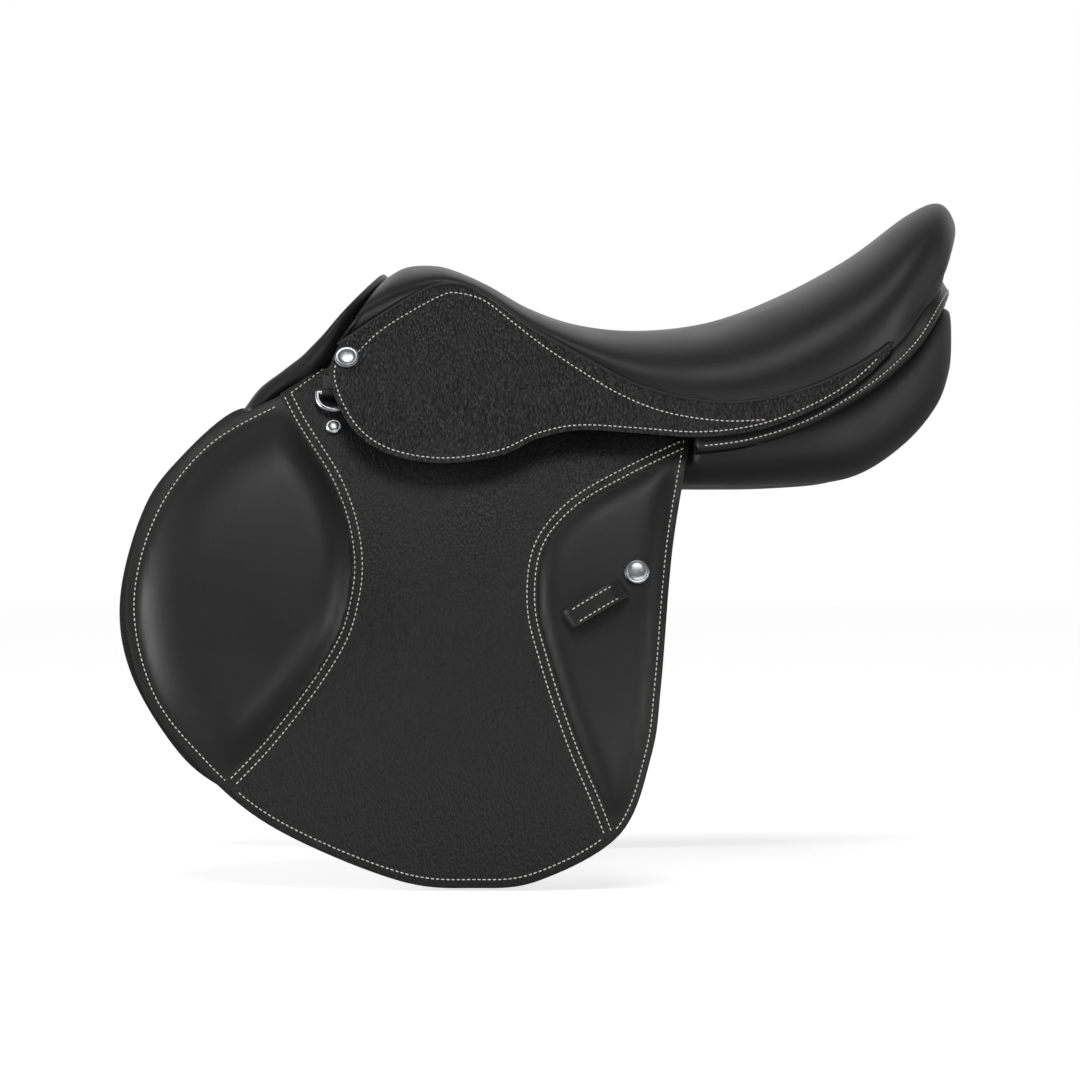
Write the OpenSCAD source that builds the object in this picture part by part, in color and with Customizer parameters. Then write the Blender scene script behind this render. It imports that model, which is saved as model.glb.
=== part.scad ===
// Jumping saddle of the close-contact pattern, as an assembly of separate pieces.
// X runs from the pommel (-) to the cantle (+), Y across the horse with the near side at -Y, Z up.
// Origin: on the centre plane, on the plane that the panels bear on, below the lowest point of the seat.
// All leather on the sides lies in layers on one cylinder, the barrel, whose axis is parallel to X.
// A layer's place is its offset outwards from the inner face of the flap.

/* [Seat] */
// Length of the seat, from pommel front to cantle back
seat_len = 406; // [385:1:425]
// Height of the cantle rim above the bearing plane
seat_h = 207; // [198:1:216]
// Thickness of the seat leather
cover_t = 2.5; // [1.5:0.1:3.5]
// Thickness of the seat foam
foam_t = 9; // [6:0.5:11]
// Thickness of the laminated tree
tree_t = 10; // [8:0.5:12]
// Thickness of a linen web
web_t = 1.2; // [0.8:0.1:1.4]

/* [Sides] */
// Radius of the barrel, at the inner face of the flap
barrel_r = 580; // [560:5:600]
// Half the width between the flaps where they are widest
half_span = 185; // [180:1:190]
// How far below the bearing plane the flaps are widest
span_drop = 230; // [222:1:238]

/* [Flaps] */
// Width of a flap, front to back
flap_w = 388; // [376:1:400]
// Height of a flap, from its front top corner to its lowest point
flap_h = 339; // [330:1:350]
// Thickness of the flap leather
flap_t = 5; // [4:0.1:6]
// Height of the knee pad's crown above the flap
knee_crown = 12; // [8:0.5:13]
// Height of the thigh pad's crown above the flap
thigh_crown = 5; // [3:0.5:7]
// Thickness of the sweat flap leather
sweat_t = 3.5; // [2.5:0.1:4]

/* [Skirts] */
// Thickness of the skirt leather
skirt_t = 4.5; // [3.5:0.1:5.5]
// Room for the stirrup bar between flap and skirt
bar_room = 15; // [14.6:0.2:17]

/* [Girth straps] */
// Width of a girth strap
strap_w = 28; // [24:1:32]
// Thickness of a girth strap
strap_t = 4; // [3:0.1:4.4]
// Length of a girth strap
strap_len = 256; // [230:1:264]
// Spacing of the straps along the saddle
strap_pitch = 45; // [42:1:47]
// Diameter of the girth holes
hole_d = 5.5; // [4.5:0.1:6.5]
// Spacing of the girth holes
hole_pitch = 25; // [20:1:27]

/* [Panels] */
// Width of a panel cushion
panel_w = 104; // [98:1:107]
// Thickness of a panel cushion
panel_t = 50; // [46:1:52]

/* [Metal] */
// Diameter of the nail heads
nail_d = 17; // [14:0.5:19]
// Thickness of the ring wire
wire_d = 4; // [3:0.1:4.4]
// Radius of the ring's bow, at the middle of the wire
ring_r = 11; // [9:0.5:12]
// Length of the stirrup bar
bar_len = 84; // [76:1:90]
// Thickness of the gullet plate
plate_t = 6; // [4:0.1:6]

/* [Hidden] */
$fn = 64;
// Facets of the large rounds in a preview
round_fn = 360;

// Colours of the real materials
leather_black = "#262626";
grip_black = "#202022";
nickel = "#b9babd";
steel = "#8d9094";
beech = "#b98d5c";
linen = "#cfc6ae";
foam_white = "#e6e2d4";

// Clearances
seat_gap = 0.3;
facet_gap = 3;
layer_gap = 0.4;
seam_gap = 0.6;
strap_gap = 2.5;
pin_gap = 0.05;
overrun = 1;

// Offsets of the layers from the flap's inner face
skirt_off = flap_t + bar_room;
seam_off = skirt_off + skirt_t / 2;
strap_out_off = -strap_gap - strap_t;
strap_in_off = strap_out_off - strap_gap / 2 - strap_t;
sweat_off = strap_in_off - strap_gap - sweat_t;
panel_off = sweat_off - layer_gap;
plate_off = -layer_gap - plate_t;
reach = half_span + bar_room + flap_t + skirt_t + knee_crown;

// Depths of the layers below the seat's surface
foam_depth = cover_t + seat_gap;
straining_depth = foam_depth + foam_t + seat_gap;
girth_depth = straining_depth + web_t + 2 * seat_gap;
tree_depth = girth_depth + web_t + facet_gap;

// Grid of the seat, and of the pads
seat_rows = 30;
seat_cols = 12;
pad_rows = 14;
pad_cols = 8;

// Seat stations from pommel to cantle: the crown line and the seam line, as shares of seat_len and seat_h
crown_shares = [[-0.443, 0.744], [-0.414, 0.775], [-0.374, 0.781], [-0.335, 0.766], [-0.271, 0.710],
    [-0.197, 0.628], [-0.108, 0.571], [0, 0.554], [0.123, 0.585], [0.246, 0.676], [0.369, 0.807],
    [0.473, 0.957], [0.530, 1], [0.557, 0.928], [0.549, 0.831], [0.537, 0.758]];
seam_shares = [[-0.527, 0.483], [-0.468, 0.568], [-0.387, 0.669], [-0.335, 0.698], [-0.276, 0.676],
    [-0.192, 0.556], [-0.108, 0.430], [0, 0.321], [0.128, 0.275], [0.246, 0.295], [0.369, 0.382],
    [0.453, 0.522], [0.498, 0.643], [0.512, 0.693], [0.517, 0.710], [0.520, 0.720]];
// Roundness of the seat across its width: 1 is an ellipse, less is squarer
seat_round_share = 0.85;
// The skirt's lower edge, from the front of the seam to the end of its tail, as shares of seat_len and seat_h
skirt_low_shares = [[-0.527, 0.476], [-0.539, 0.367], [-0.502, 0.208], [-0.441, 0.116], [-0.347, 0.080],
    [-0.246, 0.106], [-0.180, 0.164], [-0.111, 0.191], [-0.012, 0.181], [0.094, 0.167], [0.197, 0.193],
    [0.298, 0.251], [0.367, 0.324], [0.436, 0.440]];
// Seat row at which the skirt's tail ends
tail_row = 22;
// The line about which the skirt lifts
skirt_fold_shares = [[-0.555, 0.389], [-0.105, 0.192]];

// The share of flap_w that lies at the point nail, whose place follows the seat
flap_anchor_share = -0.55668;
// The flap's edge from its front top corner round to its rear top corner, as shares of flap_w and flap_h
flap_edge_shares = [[-0.649, 0.195], [-0.786, 0.103], [-0.879, -0.041], [-0.918, -0.227], [-0.884, -0.410],
    [-0.799, -0.543], [-0.662, -0.678], [-0.441, -0.788], [-0.299, -0.805], [-0.186, -0.789],
    [-0.046, -0.696], [0.009, -0.537], [0.026, -0.398], [0.041, -0.198], [0.054, -0.077], [0.082, 0.097]];
// The flap's top edge, hidden by skirt and seat, from rear to front
flap_crest_shares = [[0.075, 0.130], [0, 0.150], [-0.113, 0.185], [-0.258, 0.235], [-0.387, 0.262],
    [-0.515, 0.262], [-0.577, 0.248]];
// The line about which the flap lifts, below the skirt
flap_fold_shares = [[-0.950, -0.065], [0.100, 0.095]];
// How far the flap's fold lies outside the flap's outer face, at its front and at its rear
fold_out = [knee_crown + flap_t, layer_gap];

// The two long sides of each pad, top to bottom, as shares of flap_w and flap_h
knee_front_shares = [[-0.675, 0.171], [-0.786, 0.086], [-0.856, -0.024], [-0.892, -0.189], [-0.884, -0.324],
    [-0.830, -0.457], [-0.740, -0.587]];
knee_back_shares = [[-0.649, 0.171], [-0.598, 0.088], [-0.534, -0.041], [-0.518, -0.177], [-0.539, -0.304],
    [-0.616, -0.442], [-0.729, -0.587]];
thigh_front_shares = [[0.057, 0.065], [-0.098, -0.021], [-0.170, -0.100], [-0.191, -0.201],
    [-0.170, -0.339], [-0.116, -0.516], [-0.062, -0.667]];
thigh_back_shares = [[0.064, 0.059], [0.052, -0.021], [0.041, -0.100], [0.028, -0.201], [0.018, -0.339],
    [0, -0.516], [-0.041, -0.667]];
// Share of a pad's crown that is left at its edge
pad_edge_share = 0.12;

// The sweat flap's edge, from its rear top corner round to its front top corner
sweat_edge_shares = [[0.020, 0.150], [0.010, -0.060], [-0.010, -0.300], [-0.060, -0.520], [-0.200, -0.680],
    [-0.420, -0.720], [-0.640, -0.655], [-0.757, -0.600], [-0.834, -0.522], [-0.911, -0.375],
    [-0.933, -0.230], [-0.902, -0.062], [-0.848, 0.045], [-0.731, 0.165], [-0.640, 0.122],
    [-0.500, 0.110], [-0.280, 0.150]];

// Blocks on the sweat flap, their long sides top to bottom
knee_block_front_shares = [[-0.800, 0.020], [-0.865, -0.110], [-0.872, -0.230], [-0.845, -0.350], [-0.790, -0.440]];
knee_block_back_shares = [[-0.760, 0.020], [-0.745, -0.110], [-0.745, -0.230], [-0.745, -0.350], [-0.755, -0.440]];
thigh_block_front_shares = [[-0.030, 0.010], [-0.048, -0.060], [-0.052, -0.120], [-0.048, -0.180], [-0.036, -0.230]];
thigh_block_back_shares = [[-0.012, 0.010], [0.002, -0.060], [0, -0.120], [-0.006, -0.180], [-0.018, -0.230]];
block_crown = -sweat_off - sweat_t - layer_gap - strap_gap / 2;

// Panel stations, front to rear: x as a share of seat_len, then the cushion's middle across and up as shares
// of half_span and seat_h, and its width and thickness as shares of panel_w and panel_t
panel_station_shares = [[-0.600, 0.497, 0.145, 0.66, 0.40], [-0.530, 0.459, 0.184, 0.98, 0.56], [-0.419, 0.411, 0.198, 1.18, 0.66],
    [-0.246, 0.405, 0.190, 1.02, 0.74], [-0.062, 0.405, 0.168, 0.98, 1.02], [0.111, 0.457, 0.140, 0.94, 1.06],
    [0.259, 0.435, 0.145, 0.92, 1.10], [0.369, 0.397, 0.203, 0.77, 1.32], [0.458, 0.346, 0.319, 0.60, 1.36],
    [0.518, 0.297, 0.454, 0.46, 1.32], [0.542, 0.270, 0.520, 0.30, 0.72]];
// The section's tilt at each station, in degrees
panel_tilts = [58, 58, 58, 50, 24, 6, 0, 0, 0, 0, 0];
panel_rows = 26;
panel_sides = 16;
panel_round_share = 0.75;
// Where the flap ends at its rear top corner
flap_back_share = 0.085;

// Path of the front roll, from its crest down the near side: shares of seat_len, half_span and seat_h
roll_path_shares = [[-0.452, 0, 0.690], [-0.456, 0.240, 0.668], [-0.494, 0.440, 0.580], [-0.537, 0.505, 0.480],
    [-0.574, 0.496, 0.410], [-0.622, 0.470, 0.345], [-0.652, 0.478, 0.310]];
roll_thick = 9;
roll_deep = 22;
roll_half_rows = 12;
roll_sides = 10;

// Path of the rear facing, from the flap round to the back of the cantle: x and z as shares of seat_len
// and seat_h, then y as a share of the side's own place there
facing_path_shares = [[0.090, 0.145, 1], [0.160, 0.155, 1], [0.264, 0.208, 1], [0.335, 0.270, 1],
    [0.404, 0.362, 1], [0.468, 0.493, 1], [0.520, 0.638, 0.98], [0.541, 0.684, 0.60], [0.546, 0.692, 0]];
facing_thick = 8;
facing_off = skirt_off - facing_thick / 2 - seat_gap;
facing_tall = 13;
facing_half_rows = 18;
facing_sides = 10;

// The tree's band round its opening: seat rows and breadths as shares of the seat
tree_outer_shares = [0.350, 0.82];
tree_inner_shares = [0.18, 0.38];
tree_middle_share = 0.39;
tree_steps = 60;

// Webs: the straining web's place on the seat grid, and the seat rows that each girth web covers
straining_rows = [2, 22];
straining_cols = [4, 8];
girth_web_rows = [[5, 7], [9, 12]];
web_drop = 45;

// Gullet plate: the seat's height above its arch, and its leg's outline as shares of seat_len and seat_h
arch_share = 0.7686;
arch_h = arch_share * seat_h - tree_depth - tree_t - plate_t / 2;
leg_shares = [[-0.458, 0.490], [-0.505, 0.250], [-0.522, 0.090], [-0.515, 0.040], [-0.470, 0.040], [-0.443, 0.200],
    [-0.394, 0.490]];
rivet_r = 2.5;
rivet_head_r = 4.5;
rivet_head_h = 1.6;
head_rivet_shares = [-0.39, 0, 0.39];
head_rivet_rise = 12;

// Girth straps
strap_top = 42;
strap_middle_share = -0.245;
strap_holes = 6;
first_hole = 22;
strap_pivot = 8;
fold_deep = 14;

// Stirrup bar, ring, nails and keeper: places as shares of the sizes that they follow
bar_share = [-0.500, 0.232];
bar_base_t = 2;
bar_slot = 7;
bar_t = 4.5;
bar_w = 9;
base_w = 16;
boss_len = 14;
bar_rivet_shares = [0.07, 0.22];
ear_t = 1.2;
catch_pin_r = 1.5;
catch_eye_r = 4.4;
catch_len = 20;
catch_tip_r = 3;
ring_share = [-0.533, 0.309];
chape_w = 16;
chape_t = 2.4;
chape_len = 16;
nail_share = [-0.510, 0.437];
nail_dome = 3;
shank_r = 1.4;
point_nail_share = [-0.532, 0.203];
point_nail_d = 11;
flap_nail_share = [-0.016, -0.172];
keeper_share = [-0.088, -0.240];
keeper_angle = 31.6;
keeper_len = 42;
keeper_w = 14;
keeper_t = 3;
keeper_gap = 6.5;
keeper_foot = 7;

// Splines and outlines

// Point at share t along a smooth curve through the points p
function spline_at(p, t) =
    let (n = len(p) - 1, k = min(floor(t * n), n - 1), f = t * n - k,
        a = p[max(k - 1, 0)], b = p[k], c = p[k + 1], d = p[min(k + 2, n)])
    (2 * b + (c - a) * f + (2 * a - 5 * b + 4 * c - d) * f * f + (3 * b - a - 3 * c + d) * f * f * f) / 2;
function spline(p, steps) = [for (i = [0:steps]) spline_at(p, i / steps)];
function scaled(shares, w, h) = [for (s = shares) [s[0] * w, s[1] * h]];
function on_seat(share) = [share[0] * seat_len, share[1] * seat_h];
function flap_x(share) = point_nail_share[0] * seat_len + (share - flap_anchor_share) * flap_w;
function on_flap(share) = [flap_x(share[0]), share[1] * flap_h];
function flap_line(shares) = [for (s = shares) on_flap(s)];
function flat(lists) = [for (l = lists) each l];
function unit(v) = v / norm(v);

// Place of the near side's leather: y at height z, and how far it leans from upright
function side_y(z, off) = barrel_r - half_span - sqrt(pow(barrel_r + off, 2) - pow(z + span_drop, 2));
function lean(z, off) = asin((z + span_drop) / (barrel_r + off));
function side_point(xz, off) = [xz[0], side_y(xz[1], off), xz[1]];

// Seat surface: row runs from pommel to cantle, breadth from -1 at the near seam to 1 at the off seam
function crown_at(row) = let (s = spline_at(crown_shares, row / seat_rows)) on_seat(s);
function seam_at(row) = let (s = spline_at(seam_shares, row / seat_rows)) on_seat(s);
function crown_normal(row) =
    let (a = crown_at(max(row - 1, 0)), b = crown_at(min(row + 1, seat_rows)), t = unit(b - a)) [-t[1], t[0]];
function seat_point(row, breadth, depth) =
    let (c = crown_at(row), e = seam_at(row), n = crown_normal(row), angle = 90 * breadth,
        side = sign(breadth), w = pow(max(cos(angle), 0), seat_round_share),
        s = pow(abs(sin(angle)), seat_round_share), half = -side_y(e[1], seam_off))
    [e[0] + (c[0] - e[0]) * w - depth * n[0] * cos(angle),
        side * (half * s - depth * abs(sin(angle))),
        e[1] + (c[1] - e[1]) * w - depth * n[1] * cos(angle)];
function seat_strip(row, cols, depth) = [for (c = cols) seat_point(row, 2 * c / seat_cols - 1, depth)];

// Solids from points

// Closed solid from rings of n points each, capped at both ends
module loft(rings) {
    m = len(rings);
    n = len(rings[0]);
    last = (m - 1) * n;
    sides = [for (i = [0:m - 2], j = [0:n - 1])
        let (k = (j + 1) % n, a = i * n + j, b = i * n + k, c = (i + 1) * n + k, d = (i + 1) * n + j)
        each [[a, b, c], [a, c, d]]];
    caps = [for (j = [1:n - 2]) each [[0, j + 1, j], [last, last + j, last + j + 1]]];
    polyhedron(flat(rings), concat(sides, caps), convexity = 6);
}

// Closed solid from rings that return to the first ring
module hoop(rings) {
    m = len(rings);
    n = len(rings[0]);
    polyhedron(flat(rings), [for (i = [0:m - 1], j = [0:n - 1])
        let (k = (j + 1) % n, o = (i + 1) % m, a = i * n + j, b = i * n + k, c = o * n + k, d = o * n + j)
        each [[a, b, c], [a, c, d]]], convexity = 6);
}

// Closed solid between two grids of points that have the same rows and columns
module sheet(outer, inner) {
    m = len(outer);
    n = len(outer[0]);
    size = m * n;
    faces = [for (i = [0:m - 2], j = [0:n - 2])
        let (a = i * n + j, b = a + 1, c = b + n, d = a + n)
        each [[a, c, b], [a, d, c], [size + a, size + b, size + c], [size + a, size + c, size + d]]];
    ends = [for (j = [0:n - 2], e = [0, (m - 1) * n])
        let (a = e + j, b = a + 1)
        each e == 0 ? [[a, b, size + b], [a, size + b, size + a]] : [[a, size + b, b], [a, size + a, size + b]]];
    flanks = [for (i = [0:m - 2], e = [0, n - 1])
        let (a = i * n + e, b = a + n)
        each e == 0 ? [[a, size + b, b], [a, size + a, size + b]] : [[a, b, size + b], [a, size + b, size + a]]];
    polyhedron(concat(flat(outer), flat(inner)), concat(faces, ends, flanks), convexity = 6);
}

// The outline drawn in x and z, cut from the barrel's layer between two offsets, on the near side
module side_sheet(off_in, off_out) {
    intersection() {
        rotate([90, 0, 0]) linear_extrude(reach) children();
        translate([0, barrel_r - half_span, 0]) translate([0, 0, -span_drop]) rotate([0, 90, 0]) difference() {
            cylinder(h = 4 * flap_w, r = barrel_r + off_out, center = true, $fn = round_fn);
            cylinder(h = 4 * flap_w + overrun, r = barrel_r + off_in, center = true, $fn = round_fn);
        }
    }
}

// A frame on the near side: its z points out of the leather, its y up along it
module at_side(xz, off) {
    translate(side_point(xz, off)) rotate([90 - lean(xz[1], off), 0, 0]) children();
}

module far_side() mirror([0, 1, 0]) children();

// Everything below a fold line, or above it
module below(line, gap) {
    a = line[0] - [0, gap / 2];
    b = line[1] - [0, gap / 2];
    polygon([a, b, b - [0, 2 * flap_h], a - [0, 2 * flap_h]]);
}
module above(line, gap) {
    a = line[0] + [0, gap / 2];
    b = line[1] + [0, gap / 2];
    polygon([a, b, b + [0, flap_h], a + [0, flap_h]]);
}

// Seat

module seat_layer(depth, thick, rows, cols) {
    sheet([for (r = rows) seat_strip(r, cols, depth)], [for (r = rows) seat_strip(r, cols, depth + thick)]);
}

module seat_cover() color(leather_black) seat_layer(0, cover_t, [0:seat_rows], [0:seat_cols]);
module seat_foam() color(foam_white) seat_layer(foam_depth, foam_t, [0:seat_rows], [0:seat_cols]);
module straining_web() color(linen)
    seat_layer(straining_depth, web_t, [straining_rows[0]:straining_rows[1]], [straining_cols[0]:straining_cols[1]]);

// A web over the tree, with a tail down each side to the strap that it carries
function web_tail(row, side, out) =
    let (e = seam_at(row), off = strap_in_off - layer_gap - (out ? 0 : web_t))
    [for (z = [strap_top - fold_deep, (strap_top + e[1] - web_drop) / 2, e[1] - web_drop])
        let (p = side_point([e[0], z], off)) [p[0], -side * p[1], p[2]]];
function web_strip(row, out) = concat(web_tail(row, -1, out),
    seat_strip(row, [1:seat_cols - 1], girth_depth + (out ? 0 : web_t)),
    [for (i = [2:-1:0]) web_tail(row, 1, out)[i]]);
module girth_web(rows) color(linen)
    sheet([for (r = [rows[0]:rows[1]]) web_strip(r, true)], [for (r = [rows[0]:rows[1]]) web_strip(r, false)]);

// Tree

function tree_ring(angle) =
    [for (k = [[3, 0], [2, 0], [1, 0], [0, 0], [0, 1], [1, 1], [2, 1], [3, 1]])
        let (at = tree_inner_shares + (tree_outer_shares - tree_inner_shares) * k[0] / 3)
        seat_point(seat_rows * (tree_middle_share + at[0] * cos(angle)), at[1] * sin(angle), tree_depth + tree_t * k[1])];
module tree() color(beech) difference() {
    hoop([for (i = [0:tree_steps - 1]) tree_ring(-360 * i / tree_steps)]);
    head_rivet_places() cylinder(h = seat_h / 2, r = rivet_r + pin_gap, center = true);
}

// Gullet plate: an arch under the pommel, with a leg down each side
leg_top = leg_shares[0][1] * seat_h;
arch_x = [leg_shares[0][0] * seat_len, leg_shares[6][0] * seat_len];
arch_half = -side_y(leg_top, plate_off + plate_t / 2);
arch_r = (arch_half * arch_half + pow(arch_h - leg_top, 2)) / (2 * (arch_h - leg_top));
module plate_leg() difference() {
    side_sheet(plate_off, plate_off + plate_t) polygon(scaled(leg_shares, seat_len, seat_h));
    bar_rivet_places() cylinder(h = 2 * reach, r = rivet_r + pin_gap, center = true);
}
module plate_arch() translate([arch_x[0], 0, arch_h - arch_r]) rotate([0, 90, 0]) difference() {
    cylinder(h = arch_x[1] - arch_x[0], r = arch_r + plate_t / 2, $fn = round_fn);
    translate([0, 0, -overrun])
        cylinder(h = arch_x[1] - arch_x[0] + 2 * overrun, r = arch_r - plate_t / 2, $fn = round_fn);
}
module gullet_plate() color(steel) difference() {
    union() {
        intersection() {
            plate_arch();
            translate([arch_x[0] - overrun, -reach, leg_top - plate_t]) cube([seat_len, 2 * reach, seat_h]);
        }
        plate_leg();
        far_side() plate_leg();
    }
    head_rivet_places() cylinder(h = seat_h, r = rivet_r + pin_gap, center = true);
}
module head_rivet_places() for (share = head_rivet_shares)
    translate([arch_x[1] - rivet_head_r - overrun, 0, arch_h - arch_r]) rotate([asin(share * arch_half / arch_r), 0, 0])
        translate([0, 0, arch_r]) children();
module head_rivets() color(steel) head_rivet_places() {
    translate([0, 0, -plate_t / 2 - rivet_head_h]) cylinder(h = plate_t + rivet_head_h + head_rivet_rise, r = rivet_r);
    translate([0, 0, -plate_t / 2 - rivet_head_h - seat_gap])
        cylinder(h = rivet_head_h + seat_gap / 2, r = rivet_head_r);
}

// Panels, front roll and rear facing

function panel_section(t) =
    let (s = spline_at(panel_station_shares, t), tilt = spline_at(panel_tilts, t), half_w = s[3] * panel_w / 2, half_t = s[4] * panel_t / 2)
    [for (j = [0:panel_sides - 1])
        let (angle = 360 * j / panel_sides, c = cos(angle), d = sin(angle),
            a = half_w * sign(c) * pow(abs(c), panel_round_share),
            b = half_t * sign(d) * pow(abs(d), panel_round_share))
        [s[0] * seat_len, -s[1] * half_span - a * cos(tilt) - b * sin(tilt), s[2] * seat_h - a * sin(tilt) + b * cos(tilt)]];
flap_back = flap_x(flap_back_share) + layer_gap;
// The cushion's outer side is pressed flat where sweat flap and flap lie on it
module panel() color(leather_black) difference() {
    loft([for (i = [0:panel_rows]) panel_section(i / panel_rows)]);
    side_sheet(panel_off, skirt_off) translate([-seat_len, -flap_h]) square([seat_len + flap_back, 2 * flap_h]);
}

// Rings of an oval, across directions a and b, about each point of a path
function oval_ring(p, a, b, sides) = [for (j = [0:sides - 1]) p + a * cos(360 * j / sides) + b * sin(360 * j / sides)];

function roll_middle(t) =
    let (s = spline_at(roll_path_shares, abs(t))) [s[0] * seat_len, sign(t) * s[1] * half_span, s[2] * seat_h];
function roll_ring(i) =
    let (t = i / roll_half_rows, step = 1 / roll_half_rows, p = roll_middle(t),
        along = unit(roll_middle(min(t + step, 1)) - roll_middle(max(t - step, -1))),
        ahead = unit(cross(along, [0, t, 1.3 - abs(t)])),
        inwards = cross(ahead, along))
    oval_ring(p, ahead * roll_thick / 2, inwards * roll_deep / 2, roll_sides);
module front_roll() color(leather_black) loft([for (i = [-roll_half_rows:roll_half_rows]) roll_ring(i)]);

function facing_middle(t) =
    let (s = spline_at(facing_path_shares, 1 - abs(t)), z = s[1] * seat_h)
    [s[0] * seat_len, -sign(t) * s[2] * side_y(z, facing_off), z];
function facing_ring(i) =
    let (t = i / facing_half_rows, step = 1 / facing_half_rows, p = facing_middle(t),
        along = unit(facing_middle(min(t + step, 1)) - facing_middle(max(t - step, -1))),
        share = spline_at(facing_path_shares, 1 - abs(t))[2], angle = lean(p[2], facing_off),
        face = unit([1 - share, sign(t) * share * cos(angle), share * sin(angle)]),
        out = unit(face - along * (face * along)), up = cross(along, out))
    oval_ring(p, out * facing_thick / 2, up * facing_tall / 2, facing_sides);
module rear_facing() color(leather_black) loft([for (i = [-facing_half_rows:facing_half_rows]) facing_ring(i)]);

// Pads and blocks: a crowned form between two long sides, seated on a layer

function pad_rise(u, v) = pad_edge_share + (1 - pad_edge_share) * pow(sin(180 * u), 0.6) * pow(sin(180 * v), 0.5);
function pad_point(front, back, u, v, base, crown) =
    let (a = spline_at(front, v), b = spline_at(back, v)) side_point(a + (b - a) * u, base + crown);
function pad_grid(front, back, base, crown, rise) = [for (i = [0:pad_rows]) [for (j = [0:pad_cols])
    let (u = j / pad_cols, v = i / pad_rows) pad_point(front, back, u, v, base, rise ? crown * pad_rise(u, v) : 0)]];
module pad(front, back, base, crown)
    sheet(pad_grid(front, back, base, crown, true), pad_grid(front, back, base, crown, false));

module knee_pad_whole() pad(flap_line(knee_front_shares), flap_line(knee_back_shares),
    flap_t + layer_gap, knee_crown - layer_gap);
module knee_pad() color(leather_black) intersection() {
    knee_pad_whole();
    rotate([90, 0, 0]) linear_extrude(2 * reach) below(flap_fold, layer_gap);
}
module knee_pad_top() color(leather_black) intersection() {
    knee_pad_whole();
    rotate([90, 0, 0]) linear_extrude(2 * reach) above(flap_fold, layer_gap);
}
module thigh_pad() color(leather_black) difference() {
    pad(flap_line(thigh_front_shares), flap_line(thigh_back_shares),
        flap_t + layer_gap, thigh_crown - layer_gap);
    at_side(on_flap(flap_nail_share), flap_t) cylinder(h = 2 * reach, r = shank_r + pin_gap, center = true);
}
module knee_block() color(leather_black)
    pad(flap_line(knee_block_front_shares), flap_line(knee_block_back_shares),
        sweat_off + sweat_t + layer_gap, block_crown);
module thigh_block() color(leather_black)
    pad(flap_line(thigh_block_front_shares), flap_line(thigh_block_back_shares),
        sweat_off + sweat_t + layer_gap, block_crown);

// Flaps, skirts and sweat flaps

flap_fold = flap_line(flap_fold_shares);
skirt_fold = scaled(skirt_fold_shares, seat_len, seat_h);
flap_edge_steps = 56;
skirt_edge_steps = 48;

module flap_shape() polygon(concat(spline(flap_line(flap_edge_shares), flap_edge_steps),
    flap_line(flap_crest_shares)));
module flap() color(grip_black) difference() {
    side_sheet(0, flap_t) intersection() {
        flap_shape();
        below(flap_fold, layer_gap);
    }
    at_side(on_flap(flap_nail_share), flap_t) cylinder(h = 2 * flap_t, r = shank_r + pin_gap, center = true);
}
module flap_top() color(grip_black) difference() {
    side_sheet(0, flap_t) intersection() {
        flap_shape();
        above(flap_fold, layer_gap);
    }
    bar_rivet_places() cylinder(h = 2 * reach, r = rivet_r + pin_gap, center = true);
    at_side(on_seat(point_nail_share), flap_t) cylinder(h = 2 * flap_t, r = shank_r + pin_gap, center = true);
}
module skirt_shape() polygon(concat([for (r = [tail_row:-1:0]) seam_at(r) - [0, seam_gap]],
    spline(scaled(skirt_low_shares, seat_len, seat_h), skirt_edge_steps)));
module skirt() color(grip_black) side_sheet(skirt_off, skirt_off + skirt_t) intersection() {
    skirt_shape();
    below(skirt_fold, layer_gap);
}
module skirt_band() color(grip_black) difference() {
    side_sheet(skirt_off, skirt_off + skirt_t) difference() {
        skirt_shape();
        below(skirt_fold, -layer_gap);
    }
    at_side(on_seat(nail_share), skirt_off + skirt_t) cylinder(h = 4 * skirt_t, r = shank_r + pin_gap, center = true);
}
module sweat_flap() color(leather_black) side_sheet(sweat_off, sweat_off + sweat_t)
    polygon(spline(flap_line(sweat_edge_shares), flap_edge_steps));

// Girth straps: the middle one hangs outside the other two, with its folded end behind it

strap_offs = [strap_in_off, strap_out_off, strap_in_off];
function strap_x(i) = flap_x(strap_middle_share) + (i - 1) * strap_pitch;
module strap_shape(x) translate([x, strap_top - strap_len]) difference() {
    union() {
        translate([-strap_w / 2, strap_w / 2]) square([strap_w, strap_len - strap_w / 2]);
        translate([0, strap_w / 2]) circle(strap_w / 2);
    }
    for (k = [0:strap_holes - 1]) translate([0, first_hole + k * hole_pitch]) circle(hole_d / 2);
}
module girth_strap(i) color(leather_black) {
    side_sheet(strap_offs[i], strap_offs[i] + strap_t) strap_shape(strap_x(i));
    if (i == 1) side_sheet(strap_in_off, strap_out_off)
        translate([strap_x(i) - strap_w / 2, strap_top - fold_deep]) square([strap_w, fold_deep]);
}

// Stirrup bar and its catch

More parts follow.
